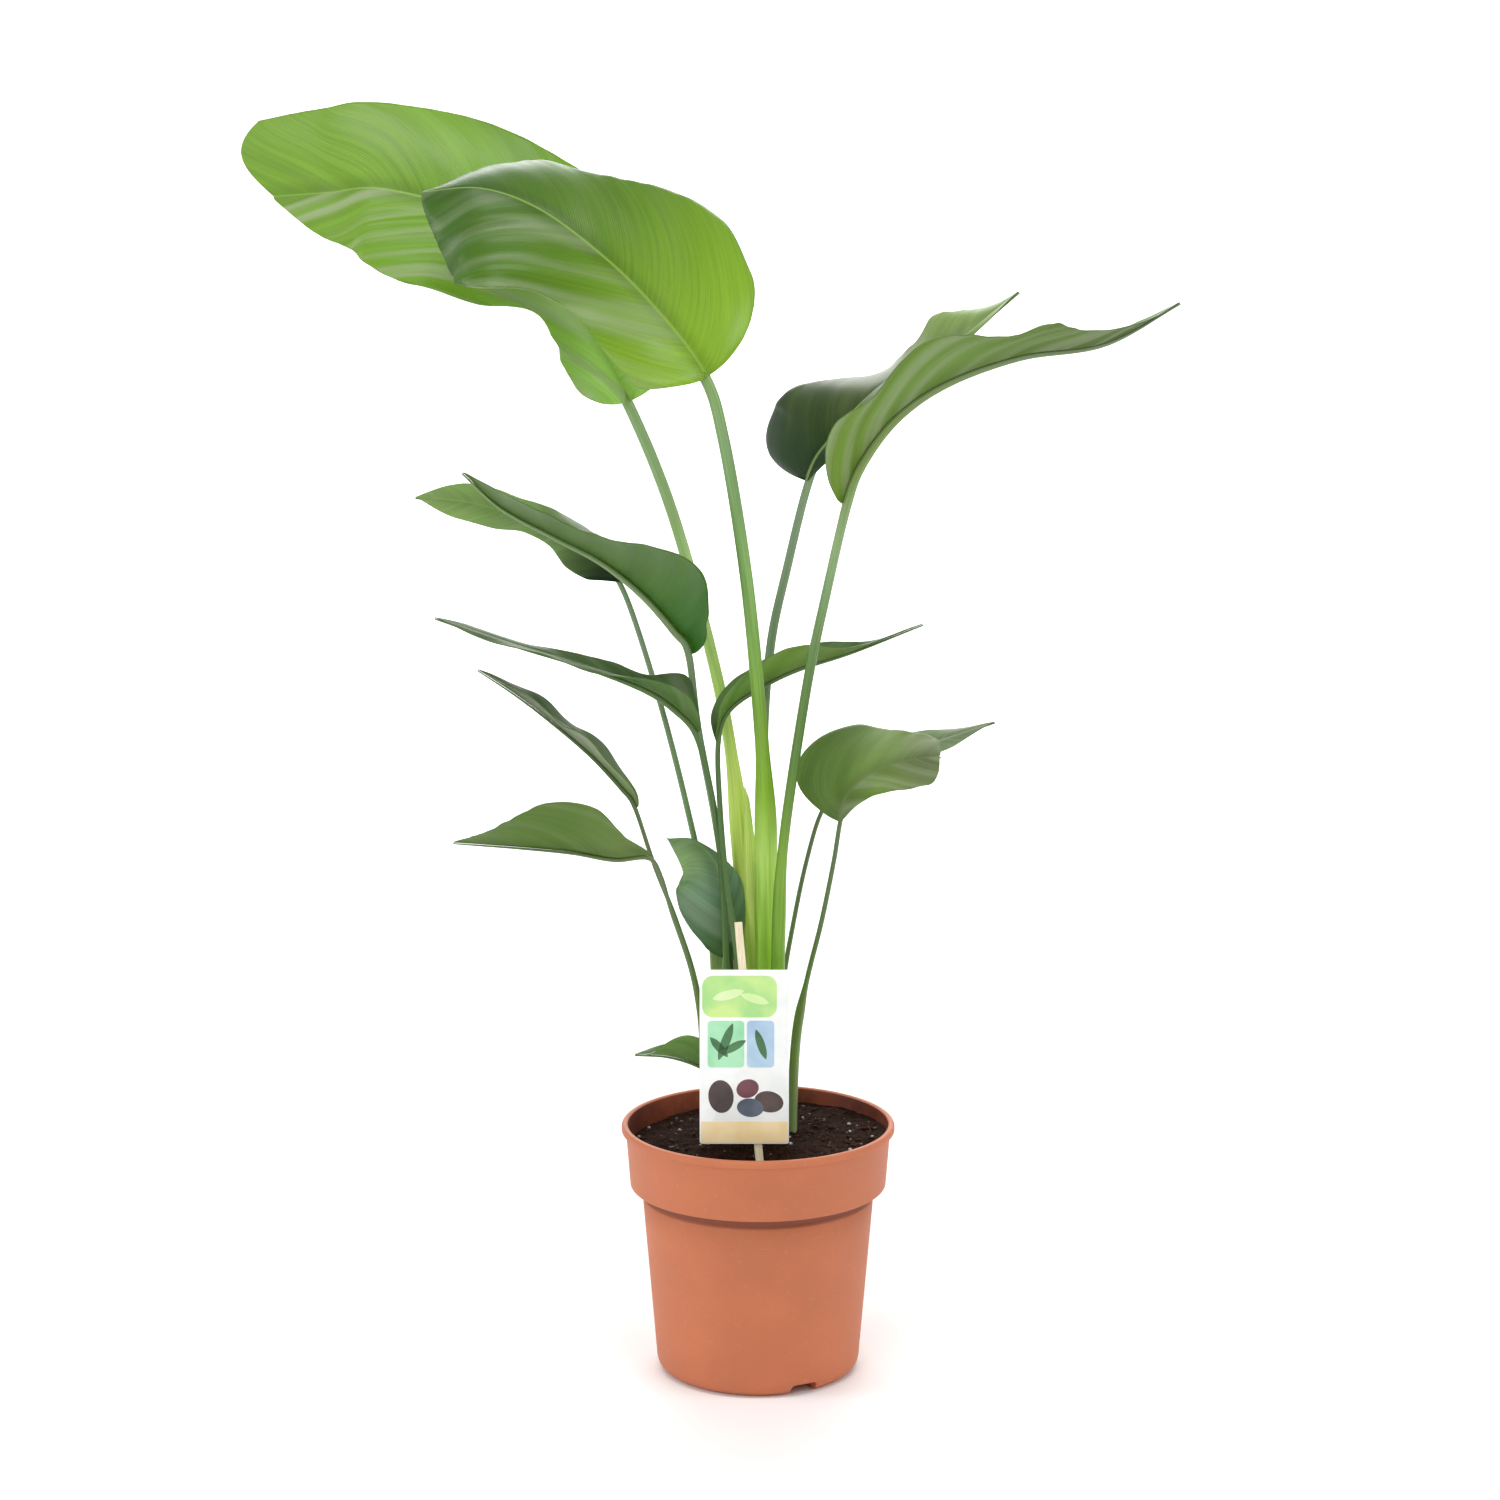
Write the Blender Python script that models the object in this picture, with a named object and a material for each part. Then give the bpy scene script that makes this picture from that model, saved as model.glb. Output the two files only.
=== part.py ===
"""A potted giant white bird of paradise: fourteen leaves on long stalks, in a plastic nursery pot.

Metres, +Z up. The origin is the middle of the pot's underside. The pot's front, where its label
stands, faces -Y.
"""
import math
from bisect import bisect_right
from typing import NamedTuple

import bmesh
import bpy
from mathutils import Matrix, Vector

# Gaps and thicknesses
GAP = 0.0003                  # between pieces that rest on each other
LEAF_THICKNESS = 0.0008
BASE_ROUNDING = 0.12          # shares of the midrib over which a blade's ends round off
TIP_ROUNDING = 0.12

# Nursery pot
POT_HEIGHT = 0.195
RIM_RADIUS = 0.105
LIP_HEIGHT = 0.006            # rolled lip round the mouth
LIP_OVERHANG = 0.003
BAND_BOTTOM = 0.146           # lower edge of the wide band under the lip
BAND_BOTTOM_RADIUS = 0.0985
BODY_TOP_RADIUS = 0.0895
BODY_BOTTOM_RADIUS = 0.0785
CORNER_RADIUS = 0.011
WALL = 0.0022
FLOOR = 0.003
POT_SIDES = 48
DRAIN_RADIUS = 0.006
DRAIN_CIRCLE = 0.042
DRAIN_COUNT = 5
NOTCH_WIDTH = 0.022
NOTCH_HEIGHT = 0.009
NOTCH_TURN = math.radians(27)     # of the front notch, from the front to the right

# Potting soil
SOIL_TOP = 0.181
SOIL_RINGS = 6
SOIL_ROUGHNESS = 0.0022

# Rootstock
STEM_FOOT = 0.150             # height at which the stalks stand on the rootstock
SOCKET_LENGTH = 0.050         # of the holes that the stalks stand in
ROOTSTOCK_CENTRE = Vector((-0.006, -0.002, 0.0))
ROOTSTOCK_RADIUS = 0.044
ROOTSTOCK_BOTTOM = 0.108
ROOT_COUNT = 6
ROOT_RADIUS = 0.0045
ROOT_DROP = 0.085

# Plant label
CARD_WIDTH = 0.067
CARD_HEIGHT = 0.132
CARD_THICKNESS = 0.0008
CARD_CORNER = 0.002
CARD_MIDDLE_X = -0.0105
CARD_BOTTOM = 0.196
STICK_WIDTH = 0.006
STICK_THICKNESS = 0.002
STICK_TOP = Vector((-0.015, -0.044, 0.363))
STICK_FOOT = Vector((0.010, -0.072, 0.082))

# Colours, linear
YOUNG_GREEN = (0.25, 0.48, 0.06)
PALE_GREEN = (0.20, 0.39, 0.08)
LEAF_GREEN = (0.11, 0.28, 0.05)
DEEP_GREEN = (0.04, 0.15, 0.03)
BLUE_GREEN = (0.05, 0.16, 0.07)
STALK_GREEN = (0.24, 0.44, 0.15)


class Leaf(NamedTuple):
    """One leaf. Its stalk runs on under the blade as the midrib.

    The left half is on the left of someone who looks along the midrib to the tip, on the upper face.
    Each half has its width at the base, at each quarter of the midrib and at the tip, and its lift in
    degrees above flat at the base, half way and at the tip.
    """
    name: str
    stalk: tuple          # points from the foot up to the blade's base
    rib: tuple            # points on along the midrib to the tip
    girth: tuple          # stalk radius at its foot, above its sheath, at the blade and the tip
    face: tuple           # directions that the upper face looks in, at the blade's base and tip
    left: tuple           # widths of the left half
    left_lift: tuple
    right: tuple          # widths of the right half
    right_lift: tuple
    arch: tuple = (-20, -20)      # degrees that each half bends across its width
    lobe: float = 0.006           # reach of the two lobes behind the blade's base
    nose: float = 0.0             # reach of the right half's round end past the tip
    sheath: float = 0.5           # share of the stalk at which its thick sheath has ended
    wave: tuple = (0.003, 2.0)    # height and count of the waves along the edges
    mesh: tuple = (12, 6)         # blade steps along and across
    sides: int = 6
    green: tuple = LEAF_GREEN


LEAVES = (
    Leaf("leaf_top_left",
         stalk=((-0.006, 0.011, 0.150), (-0.007, 0.009, 0.250), (-0.009, 0.008, 0.321),
                (-0.012, 0.013, 0.398), (-0.022, 0.022, 0.489), (-0.040, 0.030, 0.573),
                (-0.068, 0.040, 0.670), (-0.102, 0.050, 0.750)),
         rib=((-0.131, 0.058, 0.797), (-0.172, 0.064, 0.848), (-0.225, 0.070, 0.885),
              (-0.285, 0.076, 0.901), (-0.324, 0.083, 0.898), (-0.367, 0.091, 0.895)),
         girth=(0.0078, 0.0047, 0.0043, 0.0010), sheath=0.55, nose=0.028,
         face=((0.30, -0.85, 0.45), (0.05, -0.90, 0.40)),
         left=(0.078, 0.050, 0.032, 0.063, 0.074, 0.077, 0.063, 0.038, 0.011),
         left_lift=(48, 22, 20),
         right=(0.066, 0.065, 0.082, 0.086, 0.081, 0.079, 0.075, 0.072, 0.066),
         right_lift=(5, 5, 5),
         arch=(-25, -20), lobe=0.008, wave=(0.004, 2.2), mesh=(18, 8), sides=8,
         green=YOUNG_GREEN),
    Leaf("leaf_top_front",
         stalk=((0.008, -0.006, 0.150), (0.007, -0.006, 0.260), (0.006, -0.005, 0.371),
                (0.005, -0.012, 0.450), (0.000, -0.022, 0.529), (-0.0095, -0.032, 0.625),
                (-0.0255, -0.042, 0.724), (-0.041, -0.045, 0.773)),
         rib=((-0.082, -0.050, 0.826), (-0.121, -0.050, 0.863), (-0.161, -0.045, 0.891),
              (-0.201, -0.035, 0.904), (-0.244, -0.020, 0.901)),
         girth=(0.0086, 0.0053, 0.0043, 0.0010), sheath=0.55,
         face=((0.25, -0.90, 0.35), (0.00, -0.85, 0.50)),
         left=(0.034, 0.061, 0.059, 0.054, 0.060, 0.079, 0.080, 0.069, 0.030),
         left_lift=(30, 25, 0),
         right=(0.064, 0.084, 0.100, 0.094, 0.077, 0.064, 0.064, 0.040, 0.004),
         right_lift=(5, -10, -35),
         arch=(-25, -25), lobe=0.004, wave=(0.004, 2.0), mesh=(20, 10), sides=8,
         green=YOUNG_GREEN),
    Leaf("leaf_upper_right",
         stalk=((0.016, -0.021, 0.150), (0.015, -0.022, 0.260), (0.015, -0.021, 0.340),
                (0.019, -0.021, 0.420), (0.0355, -0.026, 0.536), (0.0505, -0.033, 0.612),
                (0.065, -0.038, 0.676)),
         rib=((0.077, -0.040, 0.707), (0.102, -0.044, 0.740), (0.138, -0.048, 0.765),
              (0.190, -0.054, 0.784), (0.250, -0.060, 0.794), (0.303, -0.066, 0.824)),
         girth=(0.0055, 0.0041, 0.0037, 0.0008),
         face=((-0.45, -0.10, 0.90), (-0.20, -0.15, 0.97)),
         left=(0.020, 0.040, 0.050, 0.026, 0.034, 0.012, 0.000), left_lift=(20, 25, 25, 20, 0),
         right=(0.016, 0.036, 0.047, 0.033, 0.037, 0.041, 0.035, 0.028, 0.033, 0.018, 0.013,
                0.009, 0.000),
         right_lift=(50, 60, 62, 55, 5),
         arch=(-20, -15), lobe=0.0, wave=(0.004, 2.5), mesh=(24, 6), sides=8,
         green=PALE_GREEN),
    Leaf("leaf_upper_right_back",
         stalk=((0.015, 0.014, 0.150), (0.013, 0.016, 0.260), (0.010, 0.018, 0.366),
                (0.004, 0.025, 0.474), (0.009, 0.034, 0.557), (0.0215, 0.042, 0.617),
                (0.0395, 0.050, 0.687)),
         rib=((0.056, 0.052, 0.714), (0.083, 0.056, 0.744), (0.118, 0.062, 0.771),
              (0.156, 0.068, 0.791), (0.198, 0.076, 0.824)),
         girth=(0.0045, 0.0038, 0.0032, 0.0008),
         face=((-0.45, -0.65, 0.60), (-0.30, -0.10, 0.95)),
         left=(0.098, 0.085, 0.074, 0.058, 0.056, 0.050, 0.030, 0.038, 0.030, 0.015, 0.000),
         left_lift=(-10, 10, -12, 30, 0),
         right=(0.006, 0.018, 0.028, 0.034, 0.036, 0.021, 0.010, 0.007, 0.000),
         right_lift=(10, 30, 0),
         lobe=0.004, mesh=(18, 6), sides=8, green=DEEP_GREEN),
    Leaf("leaf_middle_right",
         stalk=((-0.010, -0.022, 0.150), (-0.012, -0.026, 0.250), (-0.015, -0.029, 0.328),
                (-0.024, -0.029, 0.391), (-0.029, -0.021, 0.451), (-0.030, -0.006, 0.493)),
         rib=((-0.022, 0.003, 0.515), (0.004, 0.007, 0.533), (0.032, 0.008, 0.546),
              (0.071, 0.006, 0.559), (0.124, 0.006, 0.580)),
         girth=(0.0030, 0.0024, 0.0020, 0.0006),
         face=((-0.40, 0.00, 0.90), (-0.10, 0.00, 1.00)),
         left=(0.002, 0.020, 0.017, 0.006, 0.000), left_lift=(30, 55, 10),
         right=(0.002, 0.028, 0.021, 0.009, 0.000), right_lift=(40, 55, 10), lobe=0.0),
    Leaf("leaf_upper_left",
         stalk=((-0.024, 0.002, 0.150), (-0.024, 0.003, 0.270), (-0.025, 0.004, 0.371),
                (-0.032, 0.002, 0.430), (-0.045, -0.006, 0.503), (-0.052, -0.015, 0.561)),
         rib=((-0.063, -0.020, 0.579), (-0.086, -0.024, 0.606), (-0.116, -0.028, 0.631),
              (-0.152, -0.032, 0.651), (-0.190, -0.036, 0.673), (-0.217, -0.040, 0.699)),
         girth=(0.0044, 0.0032, 0.0028, 0.0007), sheath=0.45,
         face=((0.45, -0.10, 0.85), (0.20, -0.10, 0.95)),
         left=(0.014, 0.047, 0.084, 0.078, 0.038, 0.027, 0.037, 0.036, 0.000),
         left_lift=(55, 45, 35),
         right=(0.014, 0.040, 0.030, 0.018, 0.000), right_lift=(30, 20, 20),
         lobe=0.0, mesh=(16, 6), green=DEEP_GREEN),
    Leaf("leaf_upper_left_back",
         stalk=((-0.027, 0.014, 0.150), (-0.030, 0.013, 0.270), (-0.0395, 0.010, 0.368),
                (-0.0535, 0.016, 0.436), (-0.071, 0.022, 0.506), (-0.091, 0.028, 0.573),
                (-0.105, 0.030, 0.609)),
         rib=((-0.121, 0.030, 0.630), (-0.149, 0.028, 0.648), (-0.187, 0.026, 0.660),
              (-0.220, 0.026, 0.669), (-0.258, 0.028, 0.673)),
         girth=(0.0036, 0.0025, 0.0022, 0.0006), sheath=0.4,
         face=((0.30, -0.25, 0.90), (0.10, -0.40, 0.90)),
         left=(0.012, 0.025, 0.026, 0.014, 0.012, 0.018, 0.016, 0.011, 0.000),
         left_lift=(-45, -40, -10),
         right=(0.012, 0.020, 0.016, 0.022, 0.000), right_lift=(10, 20, 35),
         arch=(-10, -15), lobe=0.0),
    Leaf("leaf_middle_left",
         stalk=((-0.021, -0.015, 0.150), (-0.022, -0.018, 0.270), (-0.027, -0.020, 0.389),
                (-0.032, -0.019, 0.436), (-0.038, -0.022, 0.471), (-0.047, -0.031, 0.504)),
         rib=((-0.061, -0.036, 0.521), (-0.084, -0.042, 0.538), (-0.130, -0.047, 0.557),
              (-0.181, -0.049, 0.573), (-0.2375, -0.056, 0.594)),
         girth=(0.0040, 0.0026, 0.0022, 0.0006),
         face=((0.50, -0.10, 0.85), (0.20, -0.10, 0.95)),
         left=(0.010, 0.018, 0.012, 0.010, 0.010, 0.009, 0.008, 0.005, 0.000),
         left_lift=(50, 60, 5, 0, 0),
         right=(0.018, 0.030, 0.013, 0.012, 0.008, 0.009, 0.010, 0.007, 0.000),
         right_lift=(30, 60, 20, 20, 10), lobe=0.0),
    Leaf("leaf_low_left_upper",
         stalk=((-0.037, -0.013, 0.150), (-0.039, -0.018, 0.235), (-0.046, -0.022, 0.305),
                (-0.061, -0.026, 0.358), (-0.078, -0.030, 0.404), (-0.092, -0.034, 0.448)),
         rib=((-0.102, -0.036, 0.463), (-0.125, -0.040, 0.489), (-0.154, -0.044, 0.515),
              (-0.180, -0.048, 0.536), (-0.207, -0.052, 0.555)),
         girth=(0.0030, 0.0020, 0.0017, 0.0005),
         face=((0.55, -0.10, 0.80), (0.45, -0.10, 0.85)),
         left=(0.006, 0.016, 0.017, 0.015, 0.000), left_lift=(45, 40, 30),
         right=(0.006, 0.015, 0.014, 0.012, 0.000), right_lift=(40, 35, 30),
         lobe=0.0, wave=(0.002, 3.0)),
    Leaf("leaf_low_left",
         stalk=((-0.036, -0.023, 0.150), (-0.040, -0.025, 0.235), (-0.048, -0.030, 0.311),
                (-0.065, -0.036, 0.369), (-0.073, -0.040, 0.398), (-0.082, -0.044, 0.412)),
         rib=((-0.107, -0.052, 0.412), (-0.138, -0.060, 0.419), (-0.176, -0.066, 0.424),
              (-0.225, -0.072, 0.429)),
         girth=(0.0028, 0.0018, 0.0016, 0.0005),
         face=((0.10, -0.10, 0.95), (0.10, -0.10, 0.95)),
         left=(0.006, 0.020, 0.034, 0.055, 0.059, 0.053, 0.039, 0.021, 0.000),
         left_lift=(70, 65, 45),
         right=(0.004, 0.030, 0.026, 0.014, 0.000), right_lift=(50, 50, 40),
         lobe=0.0, wave=(0.002, 2.0)),
    Leaf("leaf_centre_small",
         stalk=((-0.013, -0.008, 0.150), (-0.015, -0.009, 0.256), (-0.015, -0.009, 0.295),
                (-0.017, -0.010, 0.327)),
         rib=((-0.021, -0.010, 0.353), (-0.027, -0.010, 0.383), (-0.035, -0.011, 0.404),
              (-0.049, -0.013, 0.417), (-0.069, -0.017, 0.421)),
         girth=(0.0030, 0.0026, 0.0022, 0.0006),
         face=((0.00, -0.90, 0.30), (0.30, -0.80, 0.50)),
         left=(0.018, 0.023, 0.031, 0.036, 0.037, 0.036, 0.033, 0.025, 0.000),
         left_lift=(8, 8, 8),
         right=(0.010, 0.011, 0.016, 0.019, 0.018, 0.010, 0.004, 0.002, 0.000),
         right_lift=(-30, -20, 0), lobe=0.0,
         wave=(0.001, 2.0), green=BLUE_GREEN),
    Leaf("leaf_low_right",
         stalk=((0.026, 0.018, 0.150), (0.027, 0.017, 0.215), (0.030, 0.014, 0.264),
                (0.038, 0.008, 0.308), (0.048, 0.000, 0.352), (0.057, -0.006, 0.400),
                (0.062, -0.012, 0.434)),
         rib=((0.067, -0.018, 0.451), (0.077, -0.030, 0.466), (0.092, -0.046, 0.479),
              (0.110, -0.064, 0.488), (0.133, -0.085, 0.496)),
         girth=(0.0038, 0.0020, 0.0018, 0.0006), sheath=0.54,
         face=((-0.10, -0.65, 0.75), (0.00, -0.60, 0.80)),
         left=(0.026, 0.059, 0.062, 0.051, 0.041, 0.033, 0.029, 0.022, 0.010),
         left_lift=(10, 10, 10),
         right=(0.005, 0.010, 0.014, 0.020, 0.020, 0.020, 0.022),
         right_lift=(-30, -42, -40),
         lobe=0.0, wave=(0.002, 2.0), mesh=(12, 8)),
    Leaf("leaf_low_right_back",
         stalk=((0.013, 0.030, 0.150), (0.015, 0.030, 0.215), (0.019, 0.030, 0.292),
                (0.028, 0.034, 0.348), (0.038, 0.037, 0.395), (0.049, 0.041, 0.430)),
         rib=((0.066, 0.045, 0.451), (0.094, 0.052, 0.467), (0.136, 0.058, 0.480),
              (0.183, 0.064, 0.495)),
         girth=(0.0030, 0.0020, 0.0017, 0.0005),
         face=((-0.20, -0.30, 0.93), (-0.10, -0.30, 0.95)),
         left=(0.006, 0.018, 0.017, 0.012, 0.000), left_lift=(30, 20, 10),
         right=(0.006, 0.018, 0.018, 0.010, 0.000), right_lift=(30, 10, -10), lobe=0.0),
    Leaf("leaf_soil_left",
         stalk=((-0.029, -0.030, 0.150), (-0.029, -0.031, 0.200), (-0.035, -0.033, 0.238)),
         rib=((-0.045, -0.0365, 0.249), (-0.068, -0.039, 0.257), (-0.093, -0.041, 0.259)),
         girth=(0.0022, 0.0016, 0.0014, 0.0005),
         face=((0.20, -0.10, 0.95), (0.10, -0.10, 0.95)),
         left=(0.002, 0.023, 0.028, 0.019, 0.000), left_lift=(68, 70, 10),
         right=(0.002, 0.007, 0.011, 0.009, 0.000), right_lift=(10, 50, 10),
         lobe=0.0, wave=(0.001, 2.0)),
)


def curve_value(a, b, c, d, t):
    """A point between b and c of a smooth curve through four even points."""
    bend = 2 * b + (c - a) * t + (2 * a - 5 * b + 4 * c - d) * t ** 2
    return 0.5 * (bend + (3 * b - a - 3 * c + d) * t ** 3)


def smooth_value(values, share):
    """A smooth curve through evenly spaced values, read at a share of its length."""
    ends = [2 * values[0] - values[1], *values, 2 * values[-1] - values[-2]]
    place = share * (len(values) - 1)
    i = min(int(place), len(values) - 2)
    return curve_value(*ends[i:i + 4], place - i)


class Route:
    """A smooth line through a leaf's stalk and midrib, with the blade's upward direction along it."""
    STEPS = 12                # short lines between two of the leaf's points

    def __init__(self, leaf):
        points = [Vector(p) for p in leaf.stalk + leaf.rib]
        ends = [2 * points[0] - points[1], *points, 2 * points[-1] - points[-2]]
        self.points = [points[0]]
        for a, b, c, d in zip(ends, ends[1:], ends[2:], ends[3:]):
            for step in range(1, self.STEPS + 1):
                self.points.append(curve_value(a, b, c, d, step / self.STEPS))
        self.marks = [0.0]
        for a, b in zip(self.points, self.points[1:]):
            self.marks.append(self.marks[-1] + (b - a).length)
        self.length = self.marks[-1]
        self.base = self.marks[(len(leaf.stalk) - 1) * self.STEPS]
        self.ups = self.upward(leaf)

    def along(self, items, distance):
        """The value in items at a distance from the foot."""
        distance = min(max(distance, 0.0), self.length)
        i = min(bisect_right(self.marks, distance), len(self.marks) - 1)
        share = (distance - self.marks[i - 1]) / (self.marks[i] - self.marks[i - 1])
        return items[i - 1].lerp(items[i], share)

    def point(self, distance):
        return self.along(self.points, distance)

    def tangent(self, distance):
        near = 0.004
        ahead = self.point(min(distance + near, self.length))
        return (ahead - self.point(max(distance - near, 0.0))).normalized()

    def upward(self, leaf):
        """The upper face's direction on the blade, carried down the stalk without a twist."""
        face_base, face_tip = (Vector(f).normalized() for f in leaf.face)
        ups = []
        for mark in self.marks:
            share = max(0.0, (mark - self.base) / (self.length - self.base))
            ups.append(face_base.lerp(face_tip, share))
        for i in reversed(range(len(ups))):
            if self.marks[i] < self.base:
                ups[i] = ups[i + 1].copy()
            tangent = self.tangent(self.marks[i])
            ups[i] = (ups[i] - ups[i].dot(tangent) * tangent).normalized()
        return ups

    def frame(self, distance):
        """The point, the tangent, the upper face's direction and the left at a distance."""
        tangent = self.tangent(distance)
        up = self.along(self.ups, distance)
        up = (up - up.dot(tangent) * tangent).normalized()
        return self.point(distance), tangent, up, up.cross(tangent)


def mix(a, b, share):
    return a + (b - a) * share


def smooth_step(share):
    share = min(max(share, 0.0), 1.0)
    return share * share * (3 - 2 * share)


def stalk_radius(leaf, route, distance):
    """The stalk's radius: a thick sheath at the foot, slim in the middle, a thin midrib at the tip."""
    foot, middle, top, tip = leaf.girth
    sheath = leaf.sheath * route.base
    if distance < sheath:
        return mix(foot, middle, smooth_step((distance / sheath - 0.8) / 0.2))
    if distance < route.base:
        return mix(middle, top, (distance - sheath) / (route.base - sheath))
    return mix(top, tip, (distance - route.base) / (route.length - route.base))


def half_width(widths, s, nose):
    """The width of one half of the blade: round at the base, and pointed or round at the tip."""
    width = max(0.0, smooth_value(widths, s))
    if s < BASE_ROUNDING:
        width *= math.sqrt(max(0.0, 1 - (1 - s / BASE_ROUNDING) ** 2))
    if widths[-1] > 0 and s > 1 - TIP_ROUNDING and not nose:
        width *= math.sqrt(max(0.0, 1 - ((s - 1 + TIP_ROUNDING) / TIP_ROUNDING) ** 2))
    return width


def blade_share(u):
    """Even steps drawn closer together near the blade's base and tip."""
    return 0.5 - 0.5 * math.cos(math.pi * u)


def blade_point(leaf, route, s, across):
    """A point of the blade's middle sheet; across runs from -1 at the right edge to 1 at the left."""
    distance = mix(route.base, route.length, s)
    centre, tangent, up, left = route.frame(distance)
    t = abs(across)
    on_left = across > 0
    nose = 0.0 if on_left else leaf.nose
    width = half_width(leaf.left if on_left else leaf.right, s, nose)
    lifts = (smooth_value(leaf.left_lift, s), smooth_value(leaf.right_lift, s))
    start = math.radians(lifts[0 if on_left else 1])
    turn = math.radians(leaf.arch[0 if on_left else 1])
    out = width / turn * (math.sin(start + turn * t) - math.sin(start))
    rise = width / turn * (math.cos(start) - math.cos(start + turn * t))
    height, count = leaf.wave
    phase = 0.0 if on_left else 0.25
    rise += height * t * t * math.sin(math.pi * s) * math.sin(math.tau * (count * s + phase))
    back = leaf.lobe * t * (1 - smooth_step(s / 0.3))
    back -= nose * math.sin(0.8 * math.pi * t) * smooth_step((s - 0.72) / 0.28)
    droop = math.radians(max(0.0, -lifts[0], -lifts[1]))
    seat = (stalk_radius(leaf, route, distance) + 2 * GAP + LEAF_THICKNESS / 2) / math.cos(droop)
    return centre + up * (seat + rise) + left * (out if on_left else -out) - tangent * back


def formed_grid(rows, columns, place):
    """A grid whose points are moved to place(u, v); points that meet are joined."""
    bm = bmesh.new()
    bmesh.ops.create_grid(bm, x_segments=rows, y_segments=columns, size=0.5)
    for vert in bm.verts:
        vert.co = place(vert.co.x + 0.5, vert.co.y + 0.5)
    bmesh.ops.remove_doubles(bm, verts=bm.verts[:], dist=0.00001)
    return bm


def material(name, colour, roughness):
    made = bpy.data.materials.new(name)
    made.use_nodes = True
    shader = made.node_tree.nodes["Principled BSDF"]
    shader.inputs["Base Color"].default_value = (*colour, 1.0)
    shader.inputs["Roughness"].default_value = roughness
    return made


def add_object(name, bm, finish, smooth=True):
    """An object made of a bmesh, with its faces pointing out."""
    bmesh.ops.recalc_face_normals(bm, faces=bm.faces[:])
    mesh = bpy.data.meshes.new(name)
    bm.to_mesh(mesh)
    bm.free()
    if smooth:
        mesh.shade_smooth()
        mesh.set_sharp_from_angle(angle=math.radians(40))
    if finish:
        mesh.materials.append(finish)
    made = bpy.data.objects.new(name, mesh)
    bpy.context.scene.collection.objects.link(made)
    return made


def make_cutter(name, bm):
    bmesh.ops.triangulate(bm, faces=bm.faces[:])
    cutter = add_object(name, bm, None)
    cutter.hide_render = True
    cutter.display_type = "WIRE"
    return cutter


def cut(target, cutter, operation="DIFFERENCE"):
    boolean = target.modifiers.new(cutter.name, "BOOLEAN")
    boolean.operation = operation
    boolean.solver = "EXACT"
    boolean.object = cutter


def tube(rings, sides, place_ring):
    """A closed tube; place_ring(u) gives a ring's centre, its two axes and its radius."""
    def place(u, v):
        centre, axis_a, axis_b, radius = place_ring(u)
        angle = math.tau * v
        return centre + radius * (math.cos(angle) * axis_a + math.sin(angle) * axis_b)
    bm = formed_grid(rings, sides, place)
    bmesh.ops.holes_fill(bm, edges=[e for e in bm.edges if e.is_boundary], sides=0)
    return bm


def stalk_mesh(leaf, route, marks, grown=0.0):
    """The stalk through rings at some distances from its foot, grown by a clearance all round."""
    def place_ring(u):
        distance = marks[round(u * (len(marks) - 1))]
        centre, tangent, up, left = route.frame(distance)
        if distance == 0.0:
            centre = centre - tangent * grown
        return centre, left, up, stalk_radius(leaf, route, distance) + grown
    return tube(len(marks) - 1, leaf.sides, place_ring)


def make_leaf(leaf, blade_finish, stalk_finish):
    route = Route(leaf)
    rows, columns = leaf.mesh
    blade = formed_grid(rows, columns,
                        lambda u, v: blade_point(leaf, route, blade_share(u), 2 * v - 1))
    bmesh.ops.triangulate(blade, faces=blade.faces[:])
    made = add_object(leaf.name + "_blade", blade, blade_finish)
    thicken = made.modifiers.new("thickness", "SOLIDIFY")
    thicken.thickness = LEAF_THICKNESS
    thicken.offset = 0.0
    low_rings = 2 * len(leaf.stalk) - 2
    marks = [route.base * i / low_rings for i in range(low_rings)]
    marks += [mix(route.base, route.length, blade_share(i / rows)) for i in range(rows + 1)]
    add_object(leaf.name + "_stalk", stalk_mesh(leaf, route, marks), stalk_finish)
    socket_marks = [mark for mark in marks if mark < SOCKET_LENGTH] + [SOCKET_LENGTH]
    return stalk_mesh(leaf, route, socket_marks, GAP)


def turned(profile, sides):
    """A closed shape turned round Z from a profile that starts and ends on the axis."""
    bm = bmesh.new()
    verts = [bm.verts.new((radius, 0.0, height)) for radius, height in profile]
    edges = [bm.edges.new(pair) for pair in zip(verts, verts[1:])]
    bmesh.ops.spin(bm, geom=verts + edges, cent=(0, 0, 0), axis=(0, 0, 1), angle=math.tau,
                   steps=sides, use_merge=True)
    bmesh.ops.remove_doubles(bm, verts=bm.verts[:], dist=0.00001)
    return bm


def corner(radius, centre_radius, centre_height, count):
    """Points of the pot's rounded bottom corner, from the floor up to the wall."""
    turns = [-0.5 * math.pi * (1 - i / count) for i in range(count + 1)]
    return [(centre_radius + radius * math.cos(turn), centre_height + radius * math.sin(turn))
            for turn in turns]


def inner_radius(height):
    """The pot's inside at a height."""
    if height > BAND_BOTTOM:
        share = (height - BAND_BOTTOM) / (POT_HEIGHT - BAND_BOTTOM)
        return mix(BAND_BOTTOM_RADIUS, RIM_RADIUS - LIP_OVERHANG, share) - WALL
    share = height / BAND_BOTTOM
    return mix(BODY_BOTTOM_RADIUS, BODY_TOP_RADIUS, share) - WALL


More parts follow.
